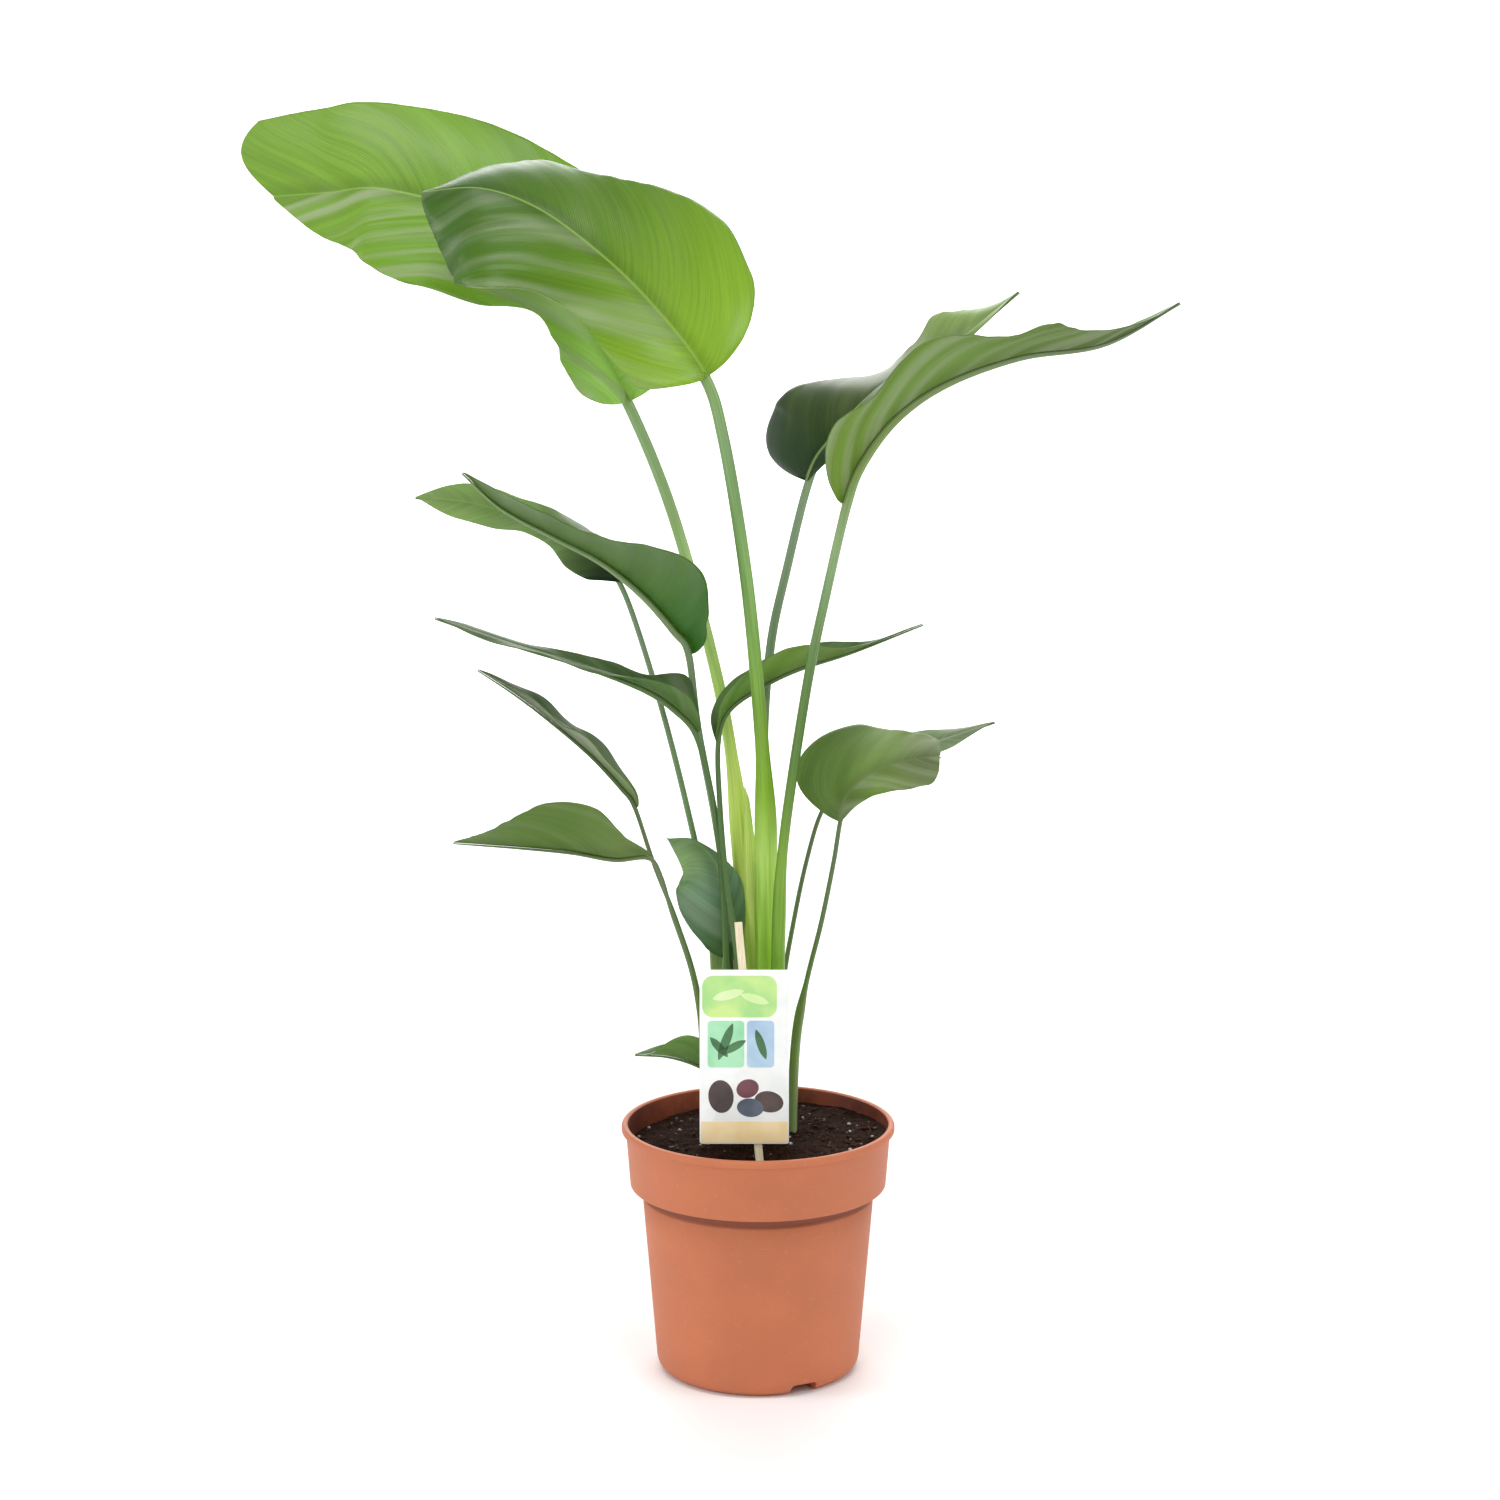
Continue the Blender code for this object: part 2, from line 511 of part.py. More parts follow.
def make_pot(finish):
    step = WALL + 0.001
    neck = RIM_RADIUS - LIP_OVERHANG
    outer = corner(CORNER_RADIUS, BODY_BOTTOM_RADIUS - CORNER_RADIUS, CORNER_RADIUS, 4)
    outer += [(BODY_TOP_RADIUS, BAND_BOTTOM - step), (BODY_TOP_RADIUS + 0.001, BAND_BOTTOM),
              (BAND_BOTTOM_RADIUS - 0.001, BAND_BOTTOM + 0.0005),
              (BAND_BOTTOM_RADIUS, BAND_BOTTOM + 0.002), (neck, POT_HEIGHT - LIP_HEIGHT)]
    outer += [(RIM_RADIUS - 0.001, POT_HEIGHT - LIP_HEIGHT + 0.001),
              (RIM_RADIUS, POT_HEIGHT - 0.003), (RIM_RADIUS - 0.0012, POT_HEIGHT - 0.0006),
              (RIM_RADIUS - 0.0026, POT_HEIGHT)]
    inside = [(inner_radius(POT_HEIGHT) + 0.001, POT_HEIGHT - 0.001), (inner_radius(0.188), 0.188),
              (inner_radius(BAND_BOTTOM + 0.001), BAND_BOTTOM + 0.001 + WALL),
              (inner_radius(BAND_BOTTOM), BAND_BOTTOM + WALL - step)]
    inner_corner = corner(CORNER_RADIUS - WALL, BODY_BOTTOM_RADIUS - CORNER_RADIUS,
                          CORNER_RADIUS, 3)
    inside += [(r, max(h, FLOOR)) for r, h in reversed(inner_corner)]
    profile = [(0.0, 0.0), *outer, *inside, (0.0, FLOOR)]
    pot = add_object("pot", turned(profile, POT_SIDES), finish)
    holes = bmesh.new()
    for i in range(DRAIN_COUNT):
        place = Matrix.Rotation(math.tau * (i + 0.5) / DRAIN_COUNT, 4, "Z")
        place = place @ Matrix.Translation((0.0, DRAIN_CIRCLE, 0.0))
        bmesh.ops.create_cone(holes, segments=12, radius1=DRAIN_RADIUS, radius2=DRAIN_RADIUS,
                              depth=0.02, cap_ends=True, matrix=place)
    for turn in (NOTCH_TURN, NOTCH_TURN + math.pi):
        place = Matrix.Rotation(turn, 4, "Z") @ Matrix.Translation((0.0, -BODY_BOTTOM_RADIUS, 0.0))
        place = place @ Matrix.Diagonal((NOTCH_WIDTH, 0.022, 2 * NOTCH_HEIGHT, 1.0))
        bmesh.ops.create_cube(holes, size=1.0, matrix=place)
    cut(pot, make_cutter("drain_cutter", holes))
    return pot


def soil_height(x, y):
    """The soil's uneven top, a little higher at the right and at the back."""
    slope = 0.035 * x + 0.020 * y
    lumps = math.sin(83 * x + 1.3) * math.cos(71 * y - 0.4) + 0.6 * math.sin(147 * x - 119 * y)
    lumps += 0.4 * math.cos(211 * x + 173 * y + 2.0)
    return SOIL_TOP + slope + 0.5 * SOIL_ROUGHNESS * lumps


def make_soil(finish):
    edge = SOIL_TOP
    bottom = FLOOR + GAP
    low_corner = corner(CORNER_RADIUS - WALL - GAP, BODY_BOTTOM_RADIUS - CORNER_RADIUS,
                        CORNER_RADIUS, 3)
    side = [(r, max(h, bottom)) for r, h in low_corner]
    side += [(inner_radius(BAND_BOTTOM) - GAP, BAND_BOTTOM - 0.0003),
             (inner_radius(BAND_BOTTOM + 0.001) - GAP, BAND_BOTTOM + 0.001 + WALL + 2 * GAP),
             (inner_radius(edge) - GAP, edge)]
    top_radius = side[-1][0]
    top = [(top_radius * (1 - i / SOIL_RINGS), edge) for i in range(1, SOIL_RINGS + 1)]
    profile = [(0.0, bottom), *side, *top]
    bm = turned(profile, POT_SIDES)
    for vert in bm.verts:
        if vert.co.z > edge - 0.001:
            rim_fade = 1 - smooth_step((vert.co.xy.length / top_radius - 0.9) / 0.1)
            edge_height = SOIL_TOP + 0.035 * vert.co.x
            vert.co.z = mix(edge_height, soil_height(vert.co.x, vert.co.y), rim_fade)
    bmesh.ops.triangulate(bm, faces=bm.faces[:])
    return add_object("soil", bm, finish)


def rootstock_parts(grown):
    """The rhizome and its fleshy roots, grown by a clearance all round."""
    top = STEM_FOOT - GAP + grown
    radius = ROOTSTOCK_RADIUS + grown
    bottom = ROOTSTOCK_BOTTOM - grown
    rise = top - bottom
    profile = [(0.0, bottom), (0.45 * radius, bottom), (0.78 * radius, bottom + 0.25 * rise),
               (0.95 * radius, bottom + 0.6 * rise), (radius, top - 0.006),
               (radius - 0.003, top), (0.0, top)]
    rhizome = turned(profile, 20)
    for vert in rhizome.verts:
        turn = math.atan2(vert.co.y, vert.co.x)
        swell = 1 - 0.03 * (1 + math.cos(5 * turn)) * (top - vert.co.z) / rise
        vert.co.xy = vert.co.xy * swell + ROOTSTOCK_CENTRE.xy
    parts = [rhizome]
    for i in range(ROOT_COUNT):
        turn = math.tau * i / ROOT_COUNT + 0.4
        spread = 0.7 + 0.3 * math.sin(3.7 * i)
        parts.append(root_mesh(turn, spread, grown))
    return parts


def root_mesh(turn, spread, grown):
    """A thick root that runs out from the rhizome and down."""
    out = Vector((math.cos(turn), math.sin(turn), 0.0))
    side = Vector((-out.y, out.x, 0.0))
    reach = 0.030 * spread + 0.008

    def place_ring(u):
        angle = 0.5 * math.pi * u
        centre = ROOTSTOCK_CENTRE + out * (0.022 + reach * math.sin(angle))
        drop = ROOT_DROP * u * (0.4 + 0.6 * u) + (2 * grown if u == 1.0 else 0.0)
        centre = centre + Vector((0, 0, ROOTSTOCK_BOTTOM + 0.016 - drop))
        radius = mix(ROOT_RADIUS, 0.0016, u) + grown
        up = (out * math.sin(angle) + Vector((0, 0, math.cos(angle) + 0.3))).normalized()
        return centre, side, up, radius
    return tube(5, 6, place_ring)


def join_parts(name, parts, finish):
    """One solid from several that run into each other."""
    base = add_object(name, parts[0], finish)
    for i, part in enumerate(parts[1:]):
        cut(base, make_cutter(f"{name}_part_{i}", part), "UNION")
    return base


def make_label(card_finish, stick_finish):
    """A stick in the soil with a card on its front; gives the cutter of the stick's hole."""
    stick_line = STICK_TOP - STICK_FOOT
    lean = stick_line.normalized()
    across = (Vector((1, 0, 0)) - lean * lean.x).normalized()
    placed = Matrix.Translation((STICK_TOP + STICK_FOOT) / 2)
    placed = placed @ Matrix((across, lean.cross(across), lean)).transposed().to_4x4()
    stick = bmesh.new()
    size = Matrix.Diagonal((STICK_WIDTH, STICK_THICKNESS, stick_line.length, 1.0))
    bmesh.ops.create_cube(stick, size=1.0, matrix=placed @ size)
    bmesh.ops.bevel(stick, geom=stick.edges[:], offset=0.0004, segments=1, profile=0.5,
                    affect="EDGES", material=-1)
    add_object("label_stick", stick, stick_finish)
    tilt = math.atan2(stick_line.y, stick_line.z)
    middle_z = CARD_BOTTOM + 0.5 * CARD_HEIGHT
    share = (middle_z - STICK_FOOT.z) / stick_line.z
    stand_off = (STICK_THICKNESS / 2 + GAP + CARD_THICKNESS / 2 + 0.0001) / math.cos(tilt)
    middle_y = mix(STICK_FOOT.y, STICK_TOP.y, share) - stand_off
    card = bmesh.new()
    size = Matrix.Diagonal((CARD_WIDTH, CARD_THICKNESS, CARD_HEIGHT, 1.0))
    bmesh.ops.create_cube(card, size=1.0, matrix=size)
    corners = [e for e in card.edges if abs(e.verts[0].co.y - e.verts[1].co.y) > 0.0001]
    bmesh.ops.bevel(card, geom=corners, offset=CARD_CORNER, segments=3, profile=0.5,
                    affect="EDGES", material=-1)
    turn = Matrix.Rotation(-tilt, 4, "X")
    card.transform(Matrix.Translation((CARD_MIDDLE_X, middle_y, middle_z)) @ turn)
    add_object("label_card", card, card_finish)
    hole = bmesh.new()
    size = Matrix.Diagonal((STICK_WIDTH + 2 * GAP, STICK_THICKNESS + 2 * GAP,
                            stick_line.length + 2 * GAP, 1.0))
    bmesh.ops.create_cube(hole, size=1.0, matrix=placed @ size)
    return hole


def main():
    for old in list(bpy.data.objects):
        bpy.data.objects.remove(old)
    clay_plastic = material("terracotta_plastic", (0.60, 0.20, 0.10), 0.5)
    earth = material("potting_soil", (0.03, 0.018, 0.012), 0.95)
    root_flesh = material("root_flesh", (0.50, 0.36, 0.20), 0.8)
    card_stock = material("coated_card", (0.85, 0.87, 0.84), 0.4)
    pale_wood = material("pale_wood", (0.65, 0.48, 0.28), 0.7)
    make_pot(clay_plastic)
    soil = make_soil(earth)
    join_parts("rootstock", rootstock_parts(0.0), root_flesh)
    cavity = rootstock_parts(GAP)
    cut(soil, make_cutter("rhizome_cutter", cavity[0]))
    for i, part in enumerate(cavity[1:]):
        cut(soil, make_cutter(f"root_cutter_{i}", part))
    for leaf in LEAVES:
        blade_finish = material(leaf.name + "_green", leaf.green, 0.4)
        stalk_finish = material(leaf.name + "_stalk_green", STALK_GREEN, 0.45)
        socket = make_leaf(leaf, blade_finish, stalk_finish)
        cut(soil, make_cutter(leaf.name + "_socket", socket))
    cut(soil, make_cutter("stick_socket", make_label(card_stock, pale_wood)))


main()
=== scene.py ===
"""The looks of a potted giant white bird of paradise: leaves, stalks, pot, soil and label.

Metres, +Z up. The pot's front, where the label stands, faces -Y.
"""

import math
import random
from bisect import bisect_right
from functools import partial
from typing import NamedTuple

import bmesh
import bpy
from mathutils import Matrix, Vector, noise


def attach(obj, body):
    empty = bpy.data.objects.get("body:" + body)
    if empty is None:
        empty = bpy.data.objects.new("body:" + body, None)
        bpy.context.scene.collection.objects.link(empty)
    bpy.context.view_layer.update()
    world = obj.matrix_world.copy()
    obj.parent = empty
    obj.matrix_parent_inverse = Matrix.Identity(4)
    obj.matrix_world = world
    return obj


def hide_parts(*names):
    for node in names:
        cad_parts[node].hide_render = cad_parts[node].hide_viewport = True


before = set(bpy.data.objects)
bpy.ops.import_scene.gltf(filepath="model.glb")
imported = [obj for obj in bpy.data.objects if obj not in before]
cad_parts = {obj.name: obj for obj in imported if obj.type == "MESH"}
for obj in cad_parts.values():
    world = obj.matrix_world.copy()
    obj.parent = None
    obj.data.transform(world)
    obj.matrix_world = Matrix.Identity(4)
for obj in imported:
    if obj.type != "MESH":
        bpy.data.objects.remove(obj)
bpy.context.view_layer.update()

MM = 0.001

# Sizes shared with the solids
LEAF_THICKNESS = 0.0008
BASE_ROUNDING = 0.12
TIP_ROUNDING = 0.12
GAP = 0.0003
POT_HEIGHT = 0.195
RIM_RADIUS = 0.105
LIP_HEIGHT = 0.006
LIP_OVERHANG = 0.003
BAND_BOTTOM = 0.146
BAND_BOTTOM_RADIUS = 0.0985
BODY_TOP_RADIUS = 0.0895
BODY_BOTTOM_RADIUS = 0.0785
CORNER_RADIUS = 0.011
WALL = 0.0022
FLOOR = 0.003
DRAIN_RADIUS = 0.006
DRAIN_CIRCLE = 0.042
DRAIN_COUNT = 5
NOTCH_WIDTH = 0.022
NOTCH_HEIGHT = 0.009
NOTCH_TURN = math.radians(27)
SOIL_TOP = 0.181
SOIL_SLOPE = 0.035
CARD_WIDTH = 0.067
CARD_HEIGHT = 0.132
CARD_THICKNESS = 0.0008
CARD_MIDDLE_X = -0.0105
CARD_BOTTOM = 0.196
STICK_WIDTH = 0.006
STICK_THICKNESS = 0.002
STICK_TOP = Vector((-0.015, -0.044, 0.363))
STICK_FOOT = Vector((0.010, -0.072, 0.082))

# Sizes of what only the looks have
FOOT_RISE = 0.0085            # the pot's floor is raised inside its foot ring
FOOT_RADIUS = 0.0658
GROOVE_BOTTOM = 0.1378        # the groove under the pot's band
GROOVE_TOP = 0.1430
GROOVE_DEPTH = 0.0018
BAND_SEAT = 0.1454            # where the groove's slope meets the body again
STAIN_AND_SHADE_BOTTOM = 0.16           # above this the inside is darker: soil stain, and painted shade inside the pot
HEAP = 0.008                  # the soil's heap in front of the stalks' feet
CRUMB_REACH = 0.094           # how far from the middle loose crumbs lie
SHEATH_BOTTOM = 172           # in millimetres, under the soil
VEIN_STEP = 0.0022            # side veins, twice their real spacing so that they show


class Leaf(NamedTuple):
    """A leaf of the solids, in millimetres: its stalk runs on under the blade as the midrib."""
    name: str
    stalk: tuple          # points from the foot up to the blade's base
    rib: tuple            # points on along the midrib to the tip
    girth: tuple          # stalk radius at its foot, above its sheath, at the blade and the tip
    face: tuple           # directions that the upper face looks in, at the blade's base and tip
    left: tuple           # widths of the left half, from base to tip
    left_lift: tuple      # degrees that it is folded up, from base to tip
    right: tuple
    right_lift: tuple
    arch: tuple = (-20, -20)      # degrees that each half bends across its width
    lobe: float = 0               # reach of the two lobes behind the blade's base
    nose: float = 0               # reach of the right half's round end past the tip
    sheath: float = 0.5           # share of the stalk at which its thick sheath has ended
    wave: tuple = (3, 2)          # height and count of the waves along the edges


LEAVES = (
    Leaf("leaf_top_left",
         stalk=((-6, 11, 150), (-7, 9, 250), (-9, 8, 321), (-12, 13, 398), (-22, 22, 489),
                (-40, 30, 573), (-68, 40, 670), (-102, 50, 750)),
         rib=((-131, 58, 797), (-172, 64, 848), (-225, 70, 885), (-285, 76, 901), (-324, 83, 898),
              (-367, 91, 895)),
         girth=(7.8, 4.7, 4.3, 1), face=((0.3, -0.85, 0.45), (0.05, -0.9, 0.4)),
         left=(78, 50, 32, 63, 74, 77, 63, 38, 11), left_lift=(48, 22, 20),
         right=(66, 65, 82, 86, 81, 79, 75, 72, 66), right_lift=(5, 5, 5), arch=(-25, -20), lobe=8,
         nose=28, sheath=0.55, wave=(4, 2.2)),
    Leaf("leaf_top_front",
         stalk=((8, -6, 150), (7, -6, 260), (6, -5, 371), (5, -12, 450), (0, -22, 529),
                (-9.5, -32, 625), (-25.5, -42, 724), (-41, -45, 773)),
         rib=((-82, -50, 826), (-121, -50, 863), (-161, -45, 891), (-201, -35, 904),
              (-244, -20, 901)),
         girth=(8.6, 5.3, 4.3, 1), face=((0.25, -0.9, 0.35), (0, -0.85, 0.5)),
         left=(34, 61, 59, 54, 60, 79, 80, 69, 30), left_lift=(30, 25, 0),
         right=(64, 84, 100, 94, 77, 64, 64, 40, 4), right_lift=(5, -10, -35), arch=(-25, -25),
         lobe=4, sheath=0.55, wave=(4, 2)),
    Leaf("leaf_upper_right",
         stalk=((16, -21, 150), (15, -22, 260), (15, -21, 340), (19, -21, 420), (35.5, -26, 536),
                (50.5, -33, 612), (65, -38, 676)),
         rib=((77, -40, 707), (102, -44, 740), (138, -48, 765), (190, -54, 784), (250, -60, 794),
              (303, -66, 824)),
         girth=(5.5, 4.1, 3.7, 0.8), face=((-0.45, -0.1, 0.9), (-0.2, -0.15, 0.97)),
         left=(20, 40, 50, 26, 34, 12, 0), left_lift=(20, 25, 25, 20, 0),
         right=(16, 36, 47, 33, 37, 41, 35, 28, 33, 18, 13, 9, 0), right_lift=(50, 60, 62, 55, 5),
         arch=(-20, -15), wave=(4, 2.5)),
    Leaf("leaf_upper_right_back",
         stalk=((15, 14, 150), (13, 16, 260), (10, 18, 366), (4, 25, 474), (9, 34, 557),
                (21.5, 42, 617), (39.5, 50, 687)),
         rib=((56, 52, 714), (83, 56, 744), (118, 62, 771), (156, 68, 791), (198, 76, 824)),
         girth=(4.5, 3.8, 3.2, 0.8), face=((-0.45, -0.65, 0.6), (-0.3, -0.1, 0.95)),
         left=(98, 85, 74, 58, 56, 50, 30, 38, 30, 15, 0), left_lift=(-10, 10, -12, 30, 0),
         right=(6, 18, 28, 34, 36, 21, 10, 7, 0), right_lift=(10, 30, 0), lobe=4),
    Leaf("leaf_middle_right",
         stalk=((-10, -22, 150), (-12, -26, 250), (-15, -29, 328), (-24, -29, 391), (-29, -21, 451),
                (-30, -6, 493)),
         rib=((-22, 3, 515), (4, 7, 533), (32, 8, 546), (71, 6, 559), (124, 6, 580)),
         girth=(3, 2.4, 2, 0.6), face=((-0.4, 0, 0.9), (-0.1, 0, 1)), left=(2, 20, 17, 6, 0),
         left_lift=(30, 55, 10), right=(2, 28, 21, 9, 0), right_lift=(40, 55, 10)),
    Leaf("leaf_upper_left",
         stalk=((-24, 2, 150), (-24, 3, 270), (-25, 4, 371), (-32, 2, 430), (-45, -6, 503),
                (-52, -15, 561)),
         rib=((-63, -20, 579), (-86, -24, 606), (-116, -28, 631), (-152, -32, 651),
              (-190, -36, 673), (-217, -40, 699)),
         girth=(4.4, 3.2, 2.8, 0.7), face=((0.45, -0.1, 0.85), (0.2, -0.1, 0.95)),
         left=(14, 47, 84, 78, 38, 27, 37, 36, 0), left_lift=(55, 45, 35),
         right=(14, 40, 30, 18, 0), right_lift=(30, 20, 20), sheath=0.45),
    Leaf("leaf_upper_left_back",
         stalk=((-27, 14, 150), (-30, 13, 270), (-39.5, 10, 368), (-53.5, 16, 436), (-71, 22, 506),
                (-91, 28, 573), (-105, 30, 609)),
         rib=((-121, 30, 630), (-149, 28, 648), (-187, 26, 660), (-220, 26, 669), (-258, 28, 673)),
         girth=(3.6, 2.5, 2.2, 0.6), face=((0.3, -0.25, 0.9), (0.1, -0.4, 0.9)),
         left=(12, 25, 26, 14, 12, 18, 16, 11, 0), left_lift=(-45, -40, -10),
         right=(12, 20, 16, 22, 0), right_lift=(10, 20, 35), arch=(-10, -15), sheath=0.4),
    Leaf("leaf_middle_left",
         stalk=((-21, -15, 150), (-22, -18, 270), (-27, -20, 389), (-32, -19, 436), (-38, -22, 471),
                (-47, -31, 504)),
         rib=((-61, -36, 521), (-84, -42, 538), (-130, -47, 557), (-181, -49, 573),
              (-237.5, -56, 594)),
         girth=(4, 2.6, 2.2, 0.6), face=((0.5, -0.1, 0.85), (0.2, -0.1, 0.95)),
         left=(10, 18, 12, 10, 10, 9, 8, 5, 0), left_lift=(50, 60, 5, 0, 0),
         right=(18, 30, 13, 12, 8, 9, 10, 7, 0), right_lift=(30, 60, 20, 20, 10)),
    Leaf("leaf_low_left_upper",
         stalk=((-37, -13, 150), (-39, -18, 235), (-46, -22, 305), (-61, -26, 358), (-78, -30, 404),
                (-92, -34, 448)),
         rib=((-102, -36, 463), (-125, -40, 489), (-154, -44, 515), (-180, -48, 536),
              (-207, -52, 555)),
         girth=(3, 2, 1.7, 0.5), face=((0.55, -0.1, 0.8), (0.45, -0.1, 0.85)),
         left=(6, 16, 17, 15, 0), left_lift=(45, 40, 30), right=(6, 15, 14, 12, 0),
         right_lift=(40, 35, 30), wave=(2, 3)),
    Leaf("leaf_low_left",
         stalk=((-36, -23, 150), (-40, -25, 235), (-48, -30, 311), (-65, -36, 369), (-73, -40, 398),
                (-82, -44, 412)),
         rib=((-107, -52, 412), (-138, -60, 419), (-176, -66, 424), (-225, -72, 429)),
         girth=(2.8, 1.8, 1.6, 0.5), face=((0.1, -0.1, 0.95), (0.1, -0.1, 0.95)),
         left=(6, 20, 34, 55, 59, 53, 39, 21, 0), left_lift=(70, 65, 45), right=(4, 30, 26, 14, 0),
         right_lift=(50, 50, 40), wave=(2, 2)),
    Leaf("leaf_centre_small",
         stalk=((-13, -8, 150), (-15, -9, 256), (-15, -9, 295), (-17, -10, 327)),
         rib=((-21, -10, 353), (-27, -10, 383), (-35, -11, 404), (-49, -13, 417), (-69, -17, 421)),
         girth=(3, 2.6, 2.2, 0.6), face=((0, -0.9, 0.3), (0.3, -0.8, 0.5)),
         left=(18, 23, 31, 36, 37, 36, 33, 25, 0), left_lift=(8, 8, 8),
         right=(10, 11, 16, 19, 18, 10, 4, 2, 0), right_lift=(-30, -20, 0), wave=(1, 2)),
    Leaf("leaf_low_right",
         stalk=((26, 18, 150), (27, 17, 215), (30, 14, 264), (38, 8, 308), (48, 0, 352),
                (57, -6, 400), (62, -12, 434)),
         rib=((67, -18, 451), (77, -30, 466), (92, -46, 479), (110, -64, 488), (133, -85, 496)),
         girth=(3.8, 2, 1.8, 0.6), face=((-0.1, -0.65, 0.75), (0, -0.6, 0.8)),
         left=(26, 59, 62, 51, 41, 33, 29, 22, 10), left_lift=(10, 10, 10),
         right=(5, 10, 14, 20, 20, 20, 22), right_lift=(-30, -42, -40), sheath=0.54,
         wave=(2, 2)),
    Leaf("leaf_low_right_back",
         stalk=((13, 30, 150), (15, 30, 215), (19, 30, 292), (28, 34, 348), (38, 37, 395),
                (49, 41, 430)),
         rib=((66, 45, 451), (94, 52, 467), (136, 58, 480), (183, 64, 495)),
         girth=(3, 2, 1.7, 0.5), face=((-0.2, -0.3, 0.93), (-0.1, -0.3, 0.95)),
         left=(6, 18, 17, 12, 0), left_lift=(30, 20, 10), right=(6, 18, 18, 10, 0),
         right_lift=(30, 10, -10)),
    Leaf("leaf_soil_left",
         stalk=((-29, -30, 150), (-29, -31, 200), (-35, -33, 238)),
         rib=((-45, -36.5, 249), (-68, -39, 257), (-93, -41, 259)),
         girth=(2.2, 1.6, 1.4, 0.5), face=((0.2, -0.1, 0.95), (0.1, -0.1, 0.95)),
         left=(2, 23, 28, 19, 0), left_lift=(68, 70, 10), right=(2, 7, 11, 9, 0),
         right_lift=(10, 50, 10), wave=(1, 2)),
)


class Look(NamedTuple):
    """A leaf's looks: its greens at the base, the middle and the tip, its grey wax with painted
    sheen, and its waves. The greens were matched to each leaf as it is lit, so in places they hold
    painted light and shade.
    """
    upper: tuple          # greens of the upper face
    lower: tuple          # greens of the lower face
    wax_and_sheen: tuple            # share of grey wax, partly painted sheen, on the upper face's right and left half and below
    waves: tuple          # height in millimetres of the waves on the right and left half
    pitch: float          # millimetres from wave to wave
    lean: tuple           # how far the side veins of the right and left half lean towards the tip
    rough: float
    stalk: str
    mesh: tuple           # steps along and across the blade


LOOKS = {
    # The pale green at the base is painted sheen, where the base turns up to the light
    "leaf_top_left": Look(
        ("#a0d25a", "#66921a", "#6f9630"), ("#7c9e4e", "#86a65a", "#82a256"), (0.05, 0.6, 0.3),
        (0.2, 1.5), 40, (0.6, 1.9), 0.34, "pale_sheath", (250, 68)),
    # Darker towards the tip: partly an older, deeper green, partly painted shade on the tip half,
    # which faces away from the light
    "leaf_top_front": Look(
        ("#80aa28", "#567c18", "#3a5e18"), ("#759848", "#7ea054", "#789a4e"), (0.05, 0.42, 0.3),
        (0.25, 1.9), 46, (0.8, 1.2), 0.32, "bright_sheath", (240, 68)),
    "leaf_upper_right": Look(
        ("#40691e", "#436c20", "#466e26"), ("#67891f", "#6a8a3a", "#586e34"), (0.15, 0.15, 0.4),
        (1, 1), 32, (2.4, 0.8), 0.38, "right_sheath", (220, 56)),
    # The near-black green at the base is painted shade on the base lobe
    "leaf_upper_right_back": Look(
        ("#17340a", "#4c5c28", "#7e9a52"), ("#5c7a40", "#66824a", "#6c8850"), (0, 0, 0.3),
        (0.1, 0.1), 34, (0.8, 1), 0.38, "grey_slim", (180, 48)),
    "leaf_middle_right": Look(
        ("#44662a", "#4a6e30", "#507234"), ("#669632", "#74983e", "#768854"), (0.1, 0.1, 0.1),
        (0.3, 0.3), 26, (1.2, 1.2), 0.42, "slim", (140, 36)),
    "leaf_upper_left": Look(
        ("#2e5a10", "#365e18", "#3e6222"), ("#2c6406", "#46681c", "#446614"), (0.1, 0.1, 0),
        (0.6, 0.6), 30, (0.1, 0.1), 0.36, "grey_slim", (180, 48)),
    # The near-black green at the base is painted shade at the leaf's foot
    "leaf_upper_left_back": Look(
        ("#0a280a", "#86a664", "#7e9e50"), ("#527038", "#5a7844", "#607e48"), (0.1, 0.1, 0.2),
        (0.4, 0.4), 26, (0.9, 0.9), 0.42, "grey_slim", (140, 36)),
    "leaf_middle_left": Look(
        ("#44602e", "#446030", "#627452"), ("#527530", "#5c7a50", "#3e5c12"), (0.15, 0.15, 0.15),
        (0.3, 0.3), 26, (1.8, 1.8), 0.42, "slim", (160, 34)),
    "leaf_low_left_upper": Look(
        ("#627850", "#6c7c60", "#4c623c"), ("#8aa668", "#8a927a", "#2e4a10"), (0.15, 0.15, 0.2),
        (0.3, 0.3), 24, (1.8, 1.8), 0.42, "dark", (130, 32)),
    "leaf_low_left": Look(
        ("#3e5e24", "#40622a", "#44662e"), ("#6a8246", "#527222", "#547428"), (0.1, 0.1, 0.1),
        (0.3, 0.3), 26, (1.4, 1.4), 0.42, "dark", (130, 40)),
    # The blue-grey green in the middle is partly painted sheen
    "leaf_centre_small": Look(
        ("#345c20", "#6a8c6c", "#76985e"), ("#4e6c42", "#54744c", "#5a7a52"), (0.05, 0.2, 0.15),
        (0.3, 0.3), 26, (0.9, 0.9), 0.34, "dark", (130, 40)),
    "leaf_low_right": Look(
        ("#5a7634", "#688634", "#647446"), ("#52703a", "#5c7a42", "#60804a"), (0.45, 0.05, 0.2),
        (0.5, 0.3), 30, (1.8, 0.3), 0.5, "dark", (120, 52)),
    "leaf_low_right_back": Look(
        ("#8aa07a", "#8aa07a", "#84986e"), ("#5c7044", "#60744a", "#667a52"), (0.2, 0.2, 0.2),
        (0.3, 0.3), 26, (1.2, 1.2), 0.45, "dark", (120, 32)),
    "leaf_soil_left": Look(
        ("#486a2e", "#4e7232", "#527838"), ("#648844", "#648844", "#7aa854"), (0.1, 0.1, 0.1),
        (0.3, 0.3), 20, (1.2, 1.2), 0.45, "dark", (80, 32)),
}


